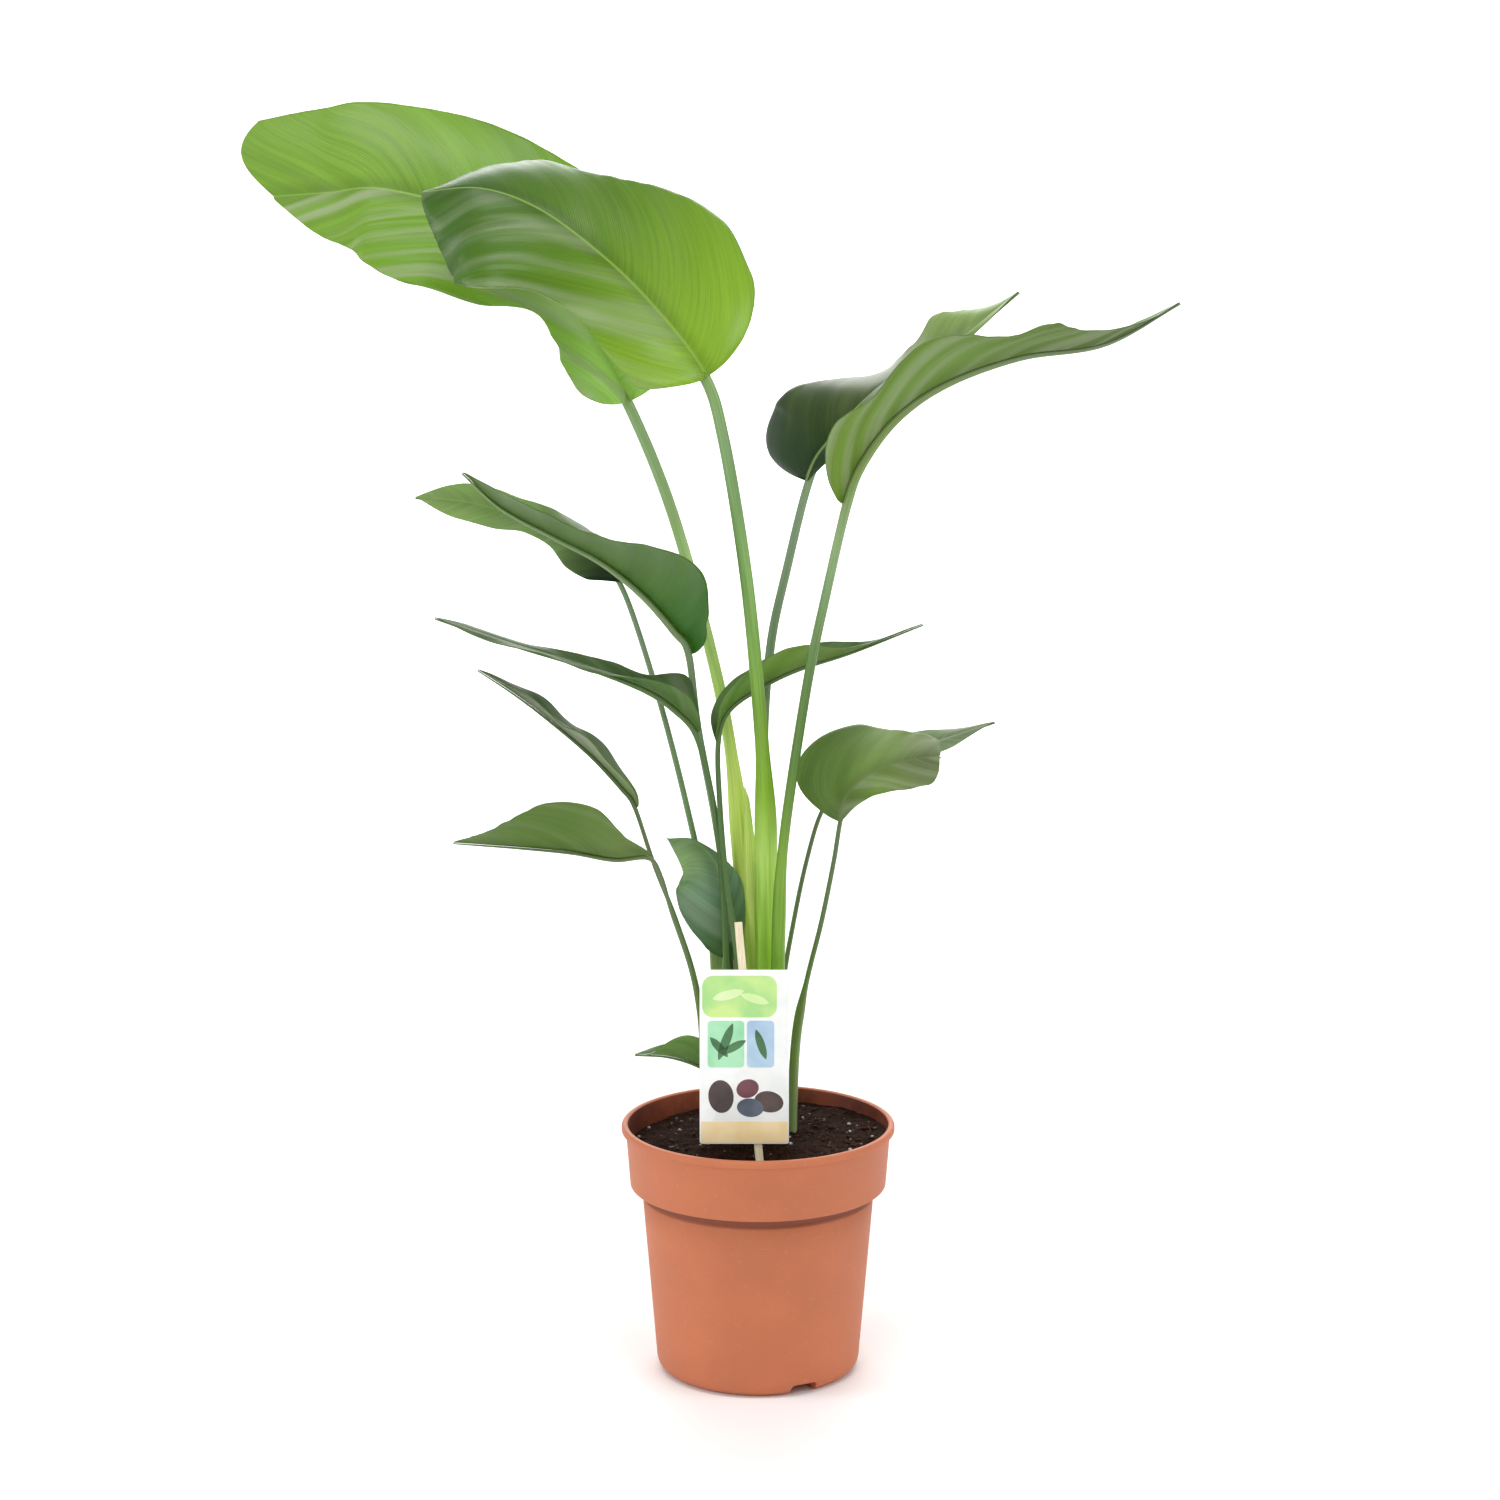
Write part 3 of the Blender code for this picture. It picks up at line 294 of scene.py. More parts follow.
# Kinds of stalk: roughness, and colours from the foot (0) to the blade (50) and the tip (100)
STALKS = {
    # Pale yellow-greens from 19 to 33 are in part the sheath's own colour, and in part painted
    # light where the other stalks shade its foot
    "pale_sheath": (
        0.4, ((6, "#b9cd84"), (19, "#bcd85c"), (25, "#c4e066"), (28, "#c8e06e"), (33, "#b4d86c"),
              (42, "#a4c67c"), (50, "#96b680"), (56, "#88aa56"))),
    "bright_sheath": (
        0.4, ((6, "#a9c76c"), (17, "#96cc3a"), (23, "#b4da66"), (27, "#84b02c"), (32, "#7aa43a"),
              (40, "#7ea65a"), (48, "#84a670"), (56, "#80a050"))),
    "right_sheath": (
        0.4, ((6, "#a3bd6c"), (18, "#6c9a24"), (26, "#7aa238"), (34, "#5a7e38"), (42, "#66864c"),
              (49, "#8aa876"), (56, "#7c9450"), (100, "#76866a"))),
    "grey_slim": (
        0.45, ((5, "#9aae74"), (20, "#5e803a"), (34, "#6c8a5c"), (49, "#7c9272"), (56, "#7c9464"))),
    "slim": (
        0.45, ((5, "#9aae74"), (20, "#547434"), (36, "#4c6c38"), (49, "#547240"), (56, "#5c7844"))),
    "dark": (
        0.45, ((10, "#94aa70"), (22, "#76924a"), (34, "#5e7840"), (48, "#627450"),
               (56, "#64784a"))),
}


def curve_value(a, b, c, d, t):
    """A point between b and c of a smooth curve through four even points."""
    bend = 2 * b + (c - a) * t + (2 * a - 5 * b + 4 * c - d) * t ** 2
    return 0.5 * (bend + (3 * b - a - 3 * c + d) * t ** 3)


def smooth_value(values, share):
    """A smooth curve through evenly spaced values, read at a share of its length."""
    ends = [2 * values[0] - values[1], *values, 2 * values[-1] - values[-2]]
    place = share * (len(values) - 1)
    i = min(int(place), len(values) - 2)
    return curve_value(*ends[i:i + 4], place - i)


class Route:
    """A smooth line through a stalk and its midrib, with the blade's upward direction along it."""
    STEPS = 12

    def __init__(self, leaf):
        points = [Vector(p) * MM for p in leaf.stalk + leaf.rib]
        ends = [2 * points[0] - points[1], *points, 2 * points[-1] - points[-2]]
        self.points = [points[0]]
        for a, b, c, d in zip(ends, ends[1:], ends[2:], ends[3:]):
            for step in range(1, self.STEPS + 1):
                self.points.append(curve_value(a, b, c, d, step / self.STEPS))
        self.marks = [0.0]
        for a, b in zip(self.points, self.points[1:]):
            self.marks.append(self.marks[-1] + (b - a).length)
        self.length = self.marks[-1]
        self.base = self.marks[(len(leaf.stalk) - 1) * self.STEPS]
        self.ups = self.upward(leaf)
        self.known = {}

    def along(self, items, distance):
        """The value in items at a distance from the foot."""
        distance = min(max(distance, 0.0), self.length)
        i = min(bisect_right(self.marks, distance), len(self.marks) - 1)
        share = (distance - self.marks[i - 1]) / (self.marks[i] - self.marks[i - 1])
        return items[i - 1].lerp(items[i], share)

    def point(self, distance):
        return self.along(self.points, distance)

    def tangent(self, distance):
        near = 0.004
        ahead = self.point(min(distance + near, self.length))
        return (ahead - self.point(max(distance - near, 0.0))).normalized()

    def upward(self, leaf):
        """The upper face's direction on the blade, carried down the stalk without a twist."""
        face_base, face_tip = (Vector(f).normalized() for f in leaf.face)
        ups = []
        for mark in self.marks:
            share = max(0.0, (mark - self.base) / (self.length - self.base))
            ups.append(face_base.lerp(face_tip, share))
        for i in reversed(range(len(ups))):
            if self.marks[i] < self.base:
                ups[i] = ups[i + 1].copy()
            tangent = self.tangent(self.marks[i])
            ups[i] = (ups[i] - ups[i].dot(tangent) * tangent).normalized()
        return ups

    def frame(self, distance):
        """The point, the tangent, the upper face's direction and the left at a distance."""
        key = round(distance, 7)
        if key not in self.known:
            tangent = self.tangent(distance)
            up = self.along(self.ups, distance)
            up = (up - up.dot(tangent) * tangent).normalized()
            self.known[key] = (self.point(distance), tangent, up, up.cross(tangent))
        return self.known[key]


def mix(a, b, share):
    return a + (b - a) * share


def smooth_step(share):
    share = min(max(share, 0.0), 1.0)
    return share * share * (3 - 2 * share)


def stalk_radius(leaf, route, distance):
    """The stalk's radius: a thick sheath at the foot, slim above it, a thin midrib at the tip."""
    foot, middle, top, tip = (MM * radius for radius in leaf.girth)
    sheath = leaf.sheath * route.base
    if distance < sheath:
        return mix(foot, middle, smooth_step((distance / sheath - 0.8) / 0.2))
    if distance < route.base:
        return mix(middle, top, (distance - sheath) / (route.base - sheath))
    return mix(top, tip, (distance - route.base) / (route.length - route.base))


def half_width(widths, s, nose):
    """The width of one half of the blade: round at the base, and pointed or round at the tip."""
    width = MM * max(0.0, smooth_value(widths, s))
    if s < BASE_ROUNDING:
        width *= math.sqrt(max(0.0, 1 - (1 - s / BASE_ROUNDING) ** 2))
    if widths[-1] > 0 and s > 1 - TIP_ROUNDING and not nose:
        width *= math.sqrt(max(0.0, 1 - ((s - 1 + TIP_ROUNDING) / TIP_ROUNDING) ** 2))
    return width


def vein_relief(w, t, reach, height, pitch, seed):
    """How far the blade stands off its smooth form: waves along the side veins, a ruffled edge."""
    place = w / (MM * pitch)
    drift = 1.8 * noise.noise(Vector((0.5 * place, 0.8 * t, seed)))
    swell = 0.65 + 0.9 * noise.noise(Vector((0.3 * place, 1.1 * t, seed + 11.0)))
    edge = noise.noise(Vector((w / 0.011, 2.0, seed + 7.0)))
    relief = MM * height * swell * math.sin(math.tau * place + drift) * smooth_step(reach / 0.03)
    relief += 0.0009 * min(1.0, reach / 0.03) * edge * smooth_step((t - 0.75) / 0.25)
    return relief


def blade_point(leaf, route, s, across, look, seed):
    """A point of the blade's middle sheet, its place along the side veins and off the midrib."""
    distance = mix(route.base, route.length, s)
    centre, tangent, up, left = route.frame(distance)
    t = abs(across)
    on_left = across > 0
    half, other, side = (0, 1, 1) if on_left else (1, 0, -1)
    nose = 0.0 if on_left else MM * leaf.nose
    width = half_width(leaf.left if on_left else leaf.right, s, nose)
    lifts = (smooth_value(leaf.left_lift, s), smooth_value(leaf.right_lift, s))
    start = math.radians(lifts[half])
    turn = math.radians(leaf.arch[half])
    out = width / turn * (math.sin(start + turn * t) - math.sin(start))
    rise = width / turn * (math.cos(start) - math.cos(start + turn * t))
    height, count = leaf.wave
    ripple = math.sin(math.pi * s) * math.sin(math.tau * (count * s + 0.25 * half))
    rise += MM * height * t * t * ripple
    back = MM * leaf.lobe * t * (1 - smooth_step(s / 0.3))
    back -= nose * math.sin(0.8 * math.pi * t) * smooth_step((s - 0.72) / 0.28)
    droop = math.radians(max(0.0, -lifts[0], -lifts[1]))
    radius = stalk_radius(leaf, route, distance)
    seat = (radius + 2 * GAP + LEAF_THICKNESS / 2) / math.cos(droop) - min(0.0009, 0.35 * radius)
    reach = width * t
    w = distance - reach * (look.lean[other] * (0.5 + s) + 0.25 * t)
    angle = start + turn * t
    normal = up * math.cos(angle) - left * side * math.sin(angle)
    fade = smooth_step(s / 0.06) * smooth_step((1 - s) / 0.06)
    relief = fade * vein_relief(w, t, reach, look.waves[other], look.pitch, seed + side)
    relief -= 0.0005 * math.exp(-(reach / 0.0018) ** 2) * (1 - 0.6 * s)
    point = centre + up * (seat + rise) + left * (side * out) - tangent * back + normal * relief
    return point, w, side * reach


def formed_grid(rows, columns, place, uv_names):
    """A grid whose points are moved to place(u, v), with the UV maps that place gives."""
    bm = bmesh.new()
    bmesh.ops.create_grid(bm, x_segments=rows, y_segments=columns, size=0.5)
    layers = [bm.loops.layers.uv.new(name) for name in uv_names]
    for vert in bm.verts:
        u = vert.co.x + 0.5
        v = vert.co.y + 0.5
        vert.co, *maps = place(u, v)
        for loop in vert.link_loops:
            for layer, uv in zip(layers, maps):
                loop[layer].uv = uv
    bmesh.ops.remove_doubles(bm, verts=bm.verts[:], dist=0.00002)
    return bm


def closed_tube(rings, sides, place):
    """A grid rolled up into a tube along a stalk, with its two ends closed."""
    tube = formed_grid(rings, sides, place, ("stalk", "grown"))
    bmesh.ops.holes_fill(tube, edges=[e for e in tube.edges if e.is_boundary], sides=0)
    bmesh.ops.recalc_face_normals(tube, faces=tube.faces[:])
    return tube


def linked(name, data):
    """A new object in the scene."""
    made = bpy.data.objects.new(name, data)
    bpy.context.scene.collection.objects.link(made)
    return made


def mesh_of(name, bm, finishes=()):
    """A mesh with its materials, from a bmesh that is then freed."""
    mesh = bpy.data.meshes.new(name)
    bm.to_mesh(mesh)
    bm.free()
    for finish in finishes:
        mesh.materials.append(finish)
    return mesh


def add_piece(name, bm, finishes, replaced=None, sharp=None):
    """A finished mesh object that rides on the pot, standing for a solid where one is named."""
    made = linked(name, mesh_of(name, bm, finishes))
    made.data.shade_smooth()
    if sharp:
        made.data.set_sharp_from_angle(angle=math.radians(sharp))
    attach(made, "root")
    if replaced:
        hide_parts(replaced)
    return made


def hex_colour(code):
    """An sRGB hex colour as linear RGBA."""
    parts = [int(code[i:i + 2], 16) / 255 for i in (1, 3, 5)]
    linear = [p / 12.92 if p <= 0.04045 else ((p + 0.055) / 1.055) ** 2.4 for p in parts]
    return (*linear, 1.0)


def set_inputs(tree, node, inputs):
    """A node's inputs, by name or in their order: values, hex colours, and links from a socket or
    from a node's first output."""
    if isinstance(inputs, tuple):
        inputs = dict(enumerate(inputs))
    for name, value in inputs.items():
        if isinstance(value, bpy.types.Node):
            value = value.outputs[0]
        if isinstance(value, bpy.types.NodeSocket):
            tree.links.new(value, node.inputs[name])
        else:
            node.inputs[name].default_value = hex_colour(value) if isinstance(value, str) else value


def add_node(tree, kind, inputs=(), stops=None, **settings):
    """A shader node with its settings, its inputs and, on a ramp, its colours at their places."""
    made = tree.nodes.new("ShaderNode" + kind)
    for name, value in settings.items():
        setattr(made, name, value)
    set_inputs(tree, made, inputs)
    if stops:
        elements = made.color_ramp.elements
        while len(elements) < len(stops):
            elements.new(1.0)
        for element, (place, colour) in zip(elements, stops):
            element.position = place
            element.color = hex_colour(colour)
    return made


def start_material(name):
    """A new material, and add_node for its nodes."""
    made = bpy.data.materials.new(name)
    made.use_nodes = True
    return made, partial(add_node, made.node_tree)


def finish_material(made, colour, rough, relief=None, **values):
    """A material's colour, roughness and other values, and its relief: height, strength, depth."""
    tree = made.node_tree
    inputs = {"Base Color": colour, "Roughness": rough, **values}
    if relief:
        height, strength, depth = relief
        inputs["Normal"] = add_node(tree, "Bump", {"Height": height, "Strength": strength,
                                                   "Distance": depth})
    set_inputs(tree, tree.nodes["Principled BSDF"], inputs)
    return made


def leaf_skin(name, shades, wax_and_sheen, rib, rough, pitch, seed, bump=0.5):
    """Living leaf: its greens from base to tip, fine side veins, grey wax in bands along them that
    also stands for painted sheen, and painted shade beside the midrib.
    """
    made, add = start_material(name)
    veins = add("UVMap", uv_map="veins")
    share = add("UVMap", uv_map="share")
    place = add("SeparateXYZ", (veins,)).outputs
    split = add("SeparateXYZ", (share,)).outputs
    # Bands half a wave wide and 140 mm long that run with the veins, streaks 3 mm wide and 60 mm
    # long between the veins, and the wax with its painted sheen in bands of its own
    patterns = []
    for shift, scale, detail, grit in (
            ((seed, 0.0), (1600 / pitch, 7.0), 2.0, 0.5),
            ((0.0, seed), (330.0, 16.0), 3.0, 0.6),
            ((seed + 4.0, 2.0), (1100 / pitch, 6.0), 2.0, 0.5)):
        run = add("Mapping", {"Vector": veins, "Location": (*shift, 0.0), "Scale": (*scale, 1.0)})
        patterns.append(add("TexNoise", {"Vector": run, "Scale": 1.0, "Detail": detail,
                                         "Roughness": grit}))
    band, streak, wax_and_sheen_noise = patterns
    turns = add("Math", (place["X"], math.tau / VEIN_STEP), operation="MULTIPLY")
    shifted = add("Math", (band, 9.0, turns), operation="MULTIPLY_ADD")
    line = add("Math", (shifted,), operation="SINE")
    along = add("Math", (band, 0.25, split["X"]), operation="MULTIPLY_ADD")
    away = add("Math", (place["Y"],), operation="ABSOLUTE")
    toned = add("ValToRGB", (along,), stops=list(zip((0.20, 0.58, 0.98), shades)))
    # Darker and lighter along streaks, bands and veins; darker for 14 mm beside the midrib, painted
    # shade of the crease along it
    for spread, blend in (
            ((streak, 0.3, 0.7, 0.88, 1.12), "LINEAR"), ((band, 0.3, 0.7, 0.88, 1.12), "LINEAR"),
            ((line, -1.0, 1.0, 0.96, 1.05), "LINEAR"),
            ((away, 0.002, 0.014, 0.78, 1.0), "SMOOTHSTEP")):
        factor = add("MapRange", spread, interpolation_type=blend)
        toned = add("VectorMath", (toned, factor), operation="MULTIPLY")
    # On each half the grey wax, partly painted sheen, is as thick as the leaf carries it
    thick = add("MapRange", (split["Y"], -0.03, 0.03, *wax_and_sheen))
    wax_and_sheen_bands = add("MapRange", (wax_and_sheen_noise, 0.42, 0.66), interpolation_type="SMOOTHSTEP")
    cover = add("Math", (thick, wax_and_sheen_bands), operation="MULTIPLY")
    wax_and_sheen_mix = add("Mix", {0: cover, 6: toned, 7: "#9ea68a"}, data_type="RGBA")
    # Midrib stripe 3.2 mm wide at the base, narrowing to the tip
    narrow = add("MapRange", (split["X"], 0.0, 1.0, 0.0016, 0.0004))
    ratio = add("Math", (away, narrow), operation="DIVIDE")
    stripe = add("MapRange", (ratio, 0.6, 1.3, 0.7, 0.0), interpolation_type="SMOOTHSTEP")
    ribbed = add("Mix", {0: stripe, 6: wax_and_sheen_mix.outputs[2], 7: rib}, data_type="RGBA")
    dull = add("MapRange", (streak, 0.3, 0.7, rough - 0.05, rough + 0.06))
    # Relief 0.15 mm deep: the veins and the streaks between them
    relief = add("Math", (line, 0.25, streak), operation="MULTIPLY_ADD")
    return finish_material(made, ribbed.outputs[2], dull, (relief, bump, 0.00015), IOR=1.35)


def stalk_skin(name, rough, stops):
    """Smooth living stalk: fine lengthwise fibres, its colour changing from the foot to the tip."""
    made, add = start_material(name)
    place = add("SeparateXYZ", (add("UVMap", uv_map="grown"),))
    # Fibres about 1 mm wide and 80 mm long
    run = add("Mapping", {"Vector": add("UVMap", uv_map="stalk"), "Scale": (12.0, 22.0, 1.0)})
    fibre = add("TexNoise", {"Vector": run, "Scale": 1.0, "Detail": 4.0})
    drift = add("Math", (fibre, 0.05, place), operation="MULTIPLY_ADD")
    body = add("ValToRGB", (drift,), stops=[(at / 100, green) for at, green in stops])
    dark = add("MapRange", (fibre, 0.35, 0.65, 0.82, 1.12))
    shade = add("VectorMath", (body, dark), operation="MULTIPLY")
    return finish_material(made, shade, rough, (fibre, 0.35, 0.0003), IOR=1.4)


def make_leaf(leaf, index, stalks, edges):
    """A blade with an upper skin, a lower skin and a pale edge, and its stalk."""
    name = leaf.name
    look = LOOKS[name]
    route = Route(leaf)

    def blade_place(u, v):
        s = mix(u, 0.5 - 0.5 * math.cos(math.pi * u), 0.6)
        across = 2 * v - 1
        point, w, away = blade_point(leaf, route, s, across, look, 1.7 * index)
        return point, (w, away), (s, across)
    blade = formed_grid(*look.mesh, blade_place, ("veins", "share"))
    right, left, below = look.wax_and_sheen
    young = name.startswith("leaf_top")
    rib = "#86ae44" if young else look.upper[2]
    finishes = [leaf_skin(name + "_wax_and_sheen_skin", look.upper, (right, left), rib, look.rough,
                          look.pitch, 2.3 * index),
                leaf_skin(name + "_underside", look.lower, (below, below), look.lower[2],
                          look.rough + 0.1, look.pitch, 2.3 * index + 40), edges[0 if young else 1]]
    made = add_piece(name + "_leaf", blade, finishes, name + "_blade")
    thicken = made.modifiers.new("thickness", "SOLIDIFY")
    thicken.thickness = LEAF_THICKNESS
    thicken.offset = 0.0
    thicken.material_offset = 1
    thicken.material_offset_rim = 2

    def stalk_place(u, v):
        distance = route.length * u
        centre, _, up, left = route.frame(distance)
        angle = math.tau * v
        radius = stalk_radius(leaf, route, distance)
        open_part = smooth_step(distance / 0.25) * smooth_step((route.base - distance) / 0.02)
        groove = 0.16 * math.exp(-((v - 0.25) / 0.07) ** 2) * open_part
        ridge = 0.03 * math.cos(5 * angle)
        size = radius * (1 - groove + ridge)
        point = centre + size * (math.cos(angle) * left + math.sin(angle) * up)
        grown = 0.5 * distance / route.base
        if distance > route.base:
            grown = 0.5 + 0.5 * (distance - route.base) / (route.length - route.base)
        return point, (distance, v), (grown, v)
    stalk = closed_tube(max(60, int(route.length / 0.004)), 20, stalk_place)
    add_piece(name + "_leafstalk", stalk, [stalks[look.stalk]], name + "_stalk",
              sharp=50)


def wrapped_sheath(name, finish, top, slope, middles, halves, depth, tones):
    """An old flattened sheath that wraps the stalks' feet, in millimetres from the soil up."""
    def place(u, v):
        angle = math.tau * v
        half = smooth_value(halves, u) * (1 + 0.04 * math.cos(7 * angle))
        height = MM * (mix(SHEATH_BOTTOM, top, u) + slope * u * math.cos(angle))
        point = Vector((MM * (smooth_value(middles, u) + half * math.cos(angle)),
                        MM * (depth + 3.5 * math.sin(angle)), height))
        return point, (height, v), (mix(*tones, u), v)
    add_piece(name, closed_tube(60, 48, place), [finish], sharp=50)


def block(*size):
    """A box round the origin."""
    bm = bmesh.new()
    bmesh.ops.create_cube(bm, size=1.0, matrix=Matrix.Diagonal((*size, 1.0)))
    return bm


def bevel(bm, edges, offset, segments):
    """Edges made round."""
    bmesh.ops.bevel(bm, geom=edges, offset=offset, segments=segments, profile=0.5,
                    affect="EDGES", material=-1)


def turned(profile, sides):
    """A closed shape turned round Z from a profile that starts and ends on the axis."""
    bm = bmesh.new()
    verts = [bm.verts.new((radius, 0.0, height)) for radius, height in profile]
    edges = [bm.edges.new(pair) for pair in zip(verts, verts[1:])]
    bmesh.ops.spin(bm, geom=verts + edges, cent=(0, 0, 0), axis=(0, 0, 1), angle=math.tau,
                   steps=sides, use_merge=True)
    bmesh.ops.remove_doubles(bm, verts=bm.verts[:], dist=0.00001)
    bmesh.ops.recalc_face_normals(bm, faces=bm.faces[:])
    return bm


def arc(radius, across, up, start, end, count):
    """Points on part of a circle round a centre, between two angles in degrees."""
    turns = [math.radians(mix(start, end, i / count)) for i in range(count + 1)]
    return [(across + radius * math.cos(turn), up + radius * math.sin(turn)) for turn in turns]


def inner_radius(height):
    """The pot's inside at a height."""
    if height > BAND_BOTTOM:
        share = (height - BAND_BOTTOM) / (POT_HEIGHT - BAND_BOTTOM)
        return mix(BAND_BOTTOM_RADIUS, RIM_RADIUS - LIP_OVERHANG, share) - WALL
    return mix(BODY_BOTTOM_RADIUS, BODY_TOP_RADIUS, height / BAND_BOTTOM) - WALL


def moulded_plastic(name, shades):
    """Injection-moulded polypropylene in a clay colour: satin, faint mottling, scuffs, and painted
    shade in the groove under the band.
    """
    made, add = start_material(name)
    coords = add("TexCoord").outputs["Object"]
    cloud = add("TexNoise", {"Vector": coords, "Scale": 22.0, "Detail": 4.0})
    # Dull bloom in spots of about 4 mm
    spots = add("TexNoise", {"Vector": coords, "Scale": 240.0, "Detail": 2.0})
    # Scuffs 0.5 mm high and 12 mm long round the pot
    run = add("Mapping", {"Vector": coords, "Scale": (60.0, 60.0, 1800.0)})
    scuffs = add("TexNoise", {"Vector": run, "Scale": 1.0, "Detail": 3.0})
    colour = add("ValToRGB", (cloud,), stops=list(zip((0.30, 0.50, 0.72), shades)))
    for source, low, high, cover, tint in ((spots, 0.62, 0.75, 0.15, "#cf8f70"),
                                           (scuffs, 0.66, 0.74, 0.16, "#d6a084")):
        mark = add("MapRange", (source, low, high, 0.0, cover))
        colour = add("Mix", {0: mark, 6: colour, 7: tint}, data_type="RGBA").outputs[2]
    # Painted shade: the plastic is darkened in the groove under the band, where the band's shadow
    # falls
    height = add("SeparateXYZ", (coords,)).outputs["Z"]
    groove = add("MapRange", (height, GROOVE_BOTTOM - 0.0008, GROOVE_BOTTOM + 0.0012, 0.0, 0.8))
    below = add("Math", (height, BAND_BOTTOM + 0.0005), operation="LESS_THAN")
    painted_groove_shade = add("Math", (groove, below), operation="MULTIPLY")
    groove_shaded = add("Mix", {0: painted_groove_shade, 6: colour, 7: "#743620"}, data_type="RGBA")
    rough = add("MapRange", (cloud, 0.0, 1.0, 0.5, 0.66))
    # Mould texture of 0.8 mm grains
    grain = add("TexNoise", {"Vector": coords, "Scale": 1200.0, "Detail": 1.0})
    return finish_material(made, groove_shaded.outputs[2], rough, (grain, 0.25, 0.0001), IOR=1.49)


def make_pot():
    neck = RIM_RADIUS - LIP_OVERHANG
    outer = arc(CORNER_RADIUS, BODY_BOTTOM_RADIUS - CORNER_RADIUS, CORNER_RADIUS, -90, 0, 10)
    shoulder = BAND_BOTTOM - WALL - 0.001
    outer += [(mix(BODY_BOTTOM_RADIUS, BODY_TOP_RADIUS, share), mix(CORNER_RADIUS, shoulder, share))
              for share in (0.2, 0.4, 0.6, 0.8)]
    outer += [(BODY_TOP_RADIUS - 0.0005, GROOVE_BOTTOM - 0.0006),
              (BODY_TOP_RADIUS - 0.0011, GROOVE_BOTTOM),
              (BODY_TOP_RADIUS - GROOVE_DEPTH, GROOVE_BOTTOM + 0.0010),
              (BODY_TOP_RADIUS - GROOVE_DEPTH, GROOVE_TOP), (BODY_TOP_RADIUS, BAND_SEAT),
              (BODY_TOP_RADIUS + 0.0018, BAND_BOTTOM)]
    outer += arc(0.0016, BAND_BOTTOM_RADIUS - 0.0016, BAND_BOTTOM + 0.0018, -90, 0, 5)
    outer += [(neck - 0.0004, POT_HEIGHT - LIP_HEIGHT - 0.0008), (neck, POT_HEIGHT - LIP_HEIGHT)]
    outer += arc(0.0012, RIM_RADIUS - 0.0012, POT_HEIGHT - LIP_HEIGHT + 0.0014, -90, 0, 4)
    outer += arc(0.0024, RIM_RADIUS - 0.0024, POT_HEIGHT - 0.0024, 0, 90, 6)
    inside = arc(0.0016, inner_radius(POT_HEIGHT) + 0.0018, POT_HEIGHT - 0.0016, 90, 180, 4)
    inside += [(inner_radius(0.188), 0.188), (inner_radius(0.1485), 0.1495),
               (inner_radius(BAND_BOTTOM) + 0.0002, BAND_BOTTOM - 0.001)]
    inner_corner = arc(CORNER_RADIUS - WALL, BODY_BOTTOM_RADIUS - CORNER_RADIUS, CORNER_RADIUS,
                       0, -90, 6)
    # The floor is raised inside a foot ring, so daylight shows through the notches
    floor_top = FOOT_RISE + FLOOR
    inside += [(r, max(h, floor_top)) for r, h in inner_corner]
    foot = [(0.0, FOOT_RISE), (FOOT_RADIUS - 0.0023, FOOT_RISE),
            (FOOT_RADIUS - 0.0003, FOOT_RISE - 0.002), (FOOT_RADIUS, 0.0)]
    # The second finish is a darker copy of the plastic: painted shade inside the pot, with soil
    # stain
    pot = add_piece("nursery_pot", turned([*foot, *outer, *inside, (0.0, floor_top)], 144),
                    [moulded_plastic("moulded_polypropylene_clay",
                                     ("#bb6b46", "#c06d47", "#c6724a")),
                     moulded_plastic("soil_stained_and_shaded_inside", ("#54200f", "#7a341c", "#9a4626"))],
                    "pot", sharp=50)
    # The inside wall near the top takes the darker copy: painted shade, with soil stain
    for face in pot.data.polygons:
        height = face.center.z
        if height > STAIN_AND_SHADE_BOTTOM and face.center.xy.length < inner_radius(height) + 0.0005:
            face.material_index = 1
    holes = bmesh.new()
    for i in range(DRAIN_COUNT):
        place = Matrix.Rotation(math.tau * (i + 0.5) / DRAIN_COUNT, 4, "Z")
        place = place @ Matrix.Translation((0.0, DRAIN_CIRCLE, 0.0))
        bmesh.ops.create_cone(holes, segments=24, radius1=DRAIN_RADIUS, radius2=DRAIN_RADIUS,
                              depth=0.03, cap_ends=True, matrix=place)
    for turn in (NOTCH_TURN, NOTCH_TURN + math.pi):
        cutter = block(NOTCH_WIDTH, 0.036, 2 * NOTCH_HEIGHT)
        along = [e for e in cutter.edges if abs(e.verts[0].co.y - e.verts[1].co.y) > 0.01]
        bevel(cutter, along, 0.0035, 4)
        cutter.transform(Matrix.Rotation(turn, 4, "Z")
                         @ Matrix.Translation((0.0, -BODY_BOTTOM_RADIUS, 0.0)))
        holes.from_mesh(mesh_of("notch", cutter))
    cutter = linked("drain_cutter", mesh_of("drain_cutter", holes))
    cutter.hide_render = True
    cutter.hide_viewport = True
    boolean = pot.modifiers.new("drains", "BOOLEAN")
    boolean.solver = "EXACT"
    boolean.object = cutter


def soil_height(x, y):
    """The soil's uneven top, as in the solids, with clods and crumbs on it."""
    slope = SOIL_SLOPE * x + 0.020 * y
    lumps = math.sin(83 * x + 1.3) * math.cos(71 * y - 0.4) + 0.6 * math.sin(147 * x - 119 * y)
    lumps += 0.4 * math.cos(211 * x + 173 * y + 2.0)
    clods = 1.6 * noise.noise(Vector((130 * x, 130 * y, 0.0)))
    crumbs = 0.9 * noise.noise(Vector((330 * x, 330 * y, 4.0)))
    grains = 0.45 * noise.noise(Vector((760 * x, 760 * y, 9.0)))
    heap = HEAP * math.exp(-((x + 0.010) / 0.040) ** 4 - ((y + 0.034) / 0.014) ** 2)
    return SOIL_TOP + slope + heap + 0.0011 * lumps + 0.001 * (clods + crumbs + grains)


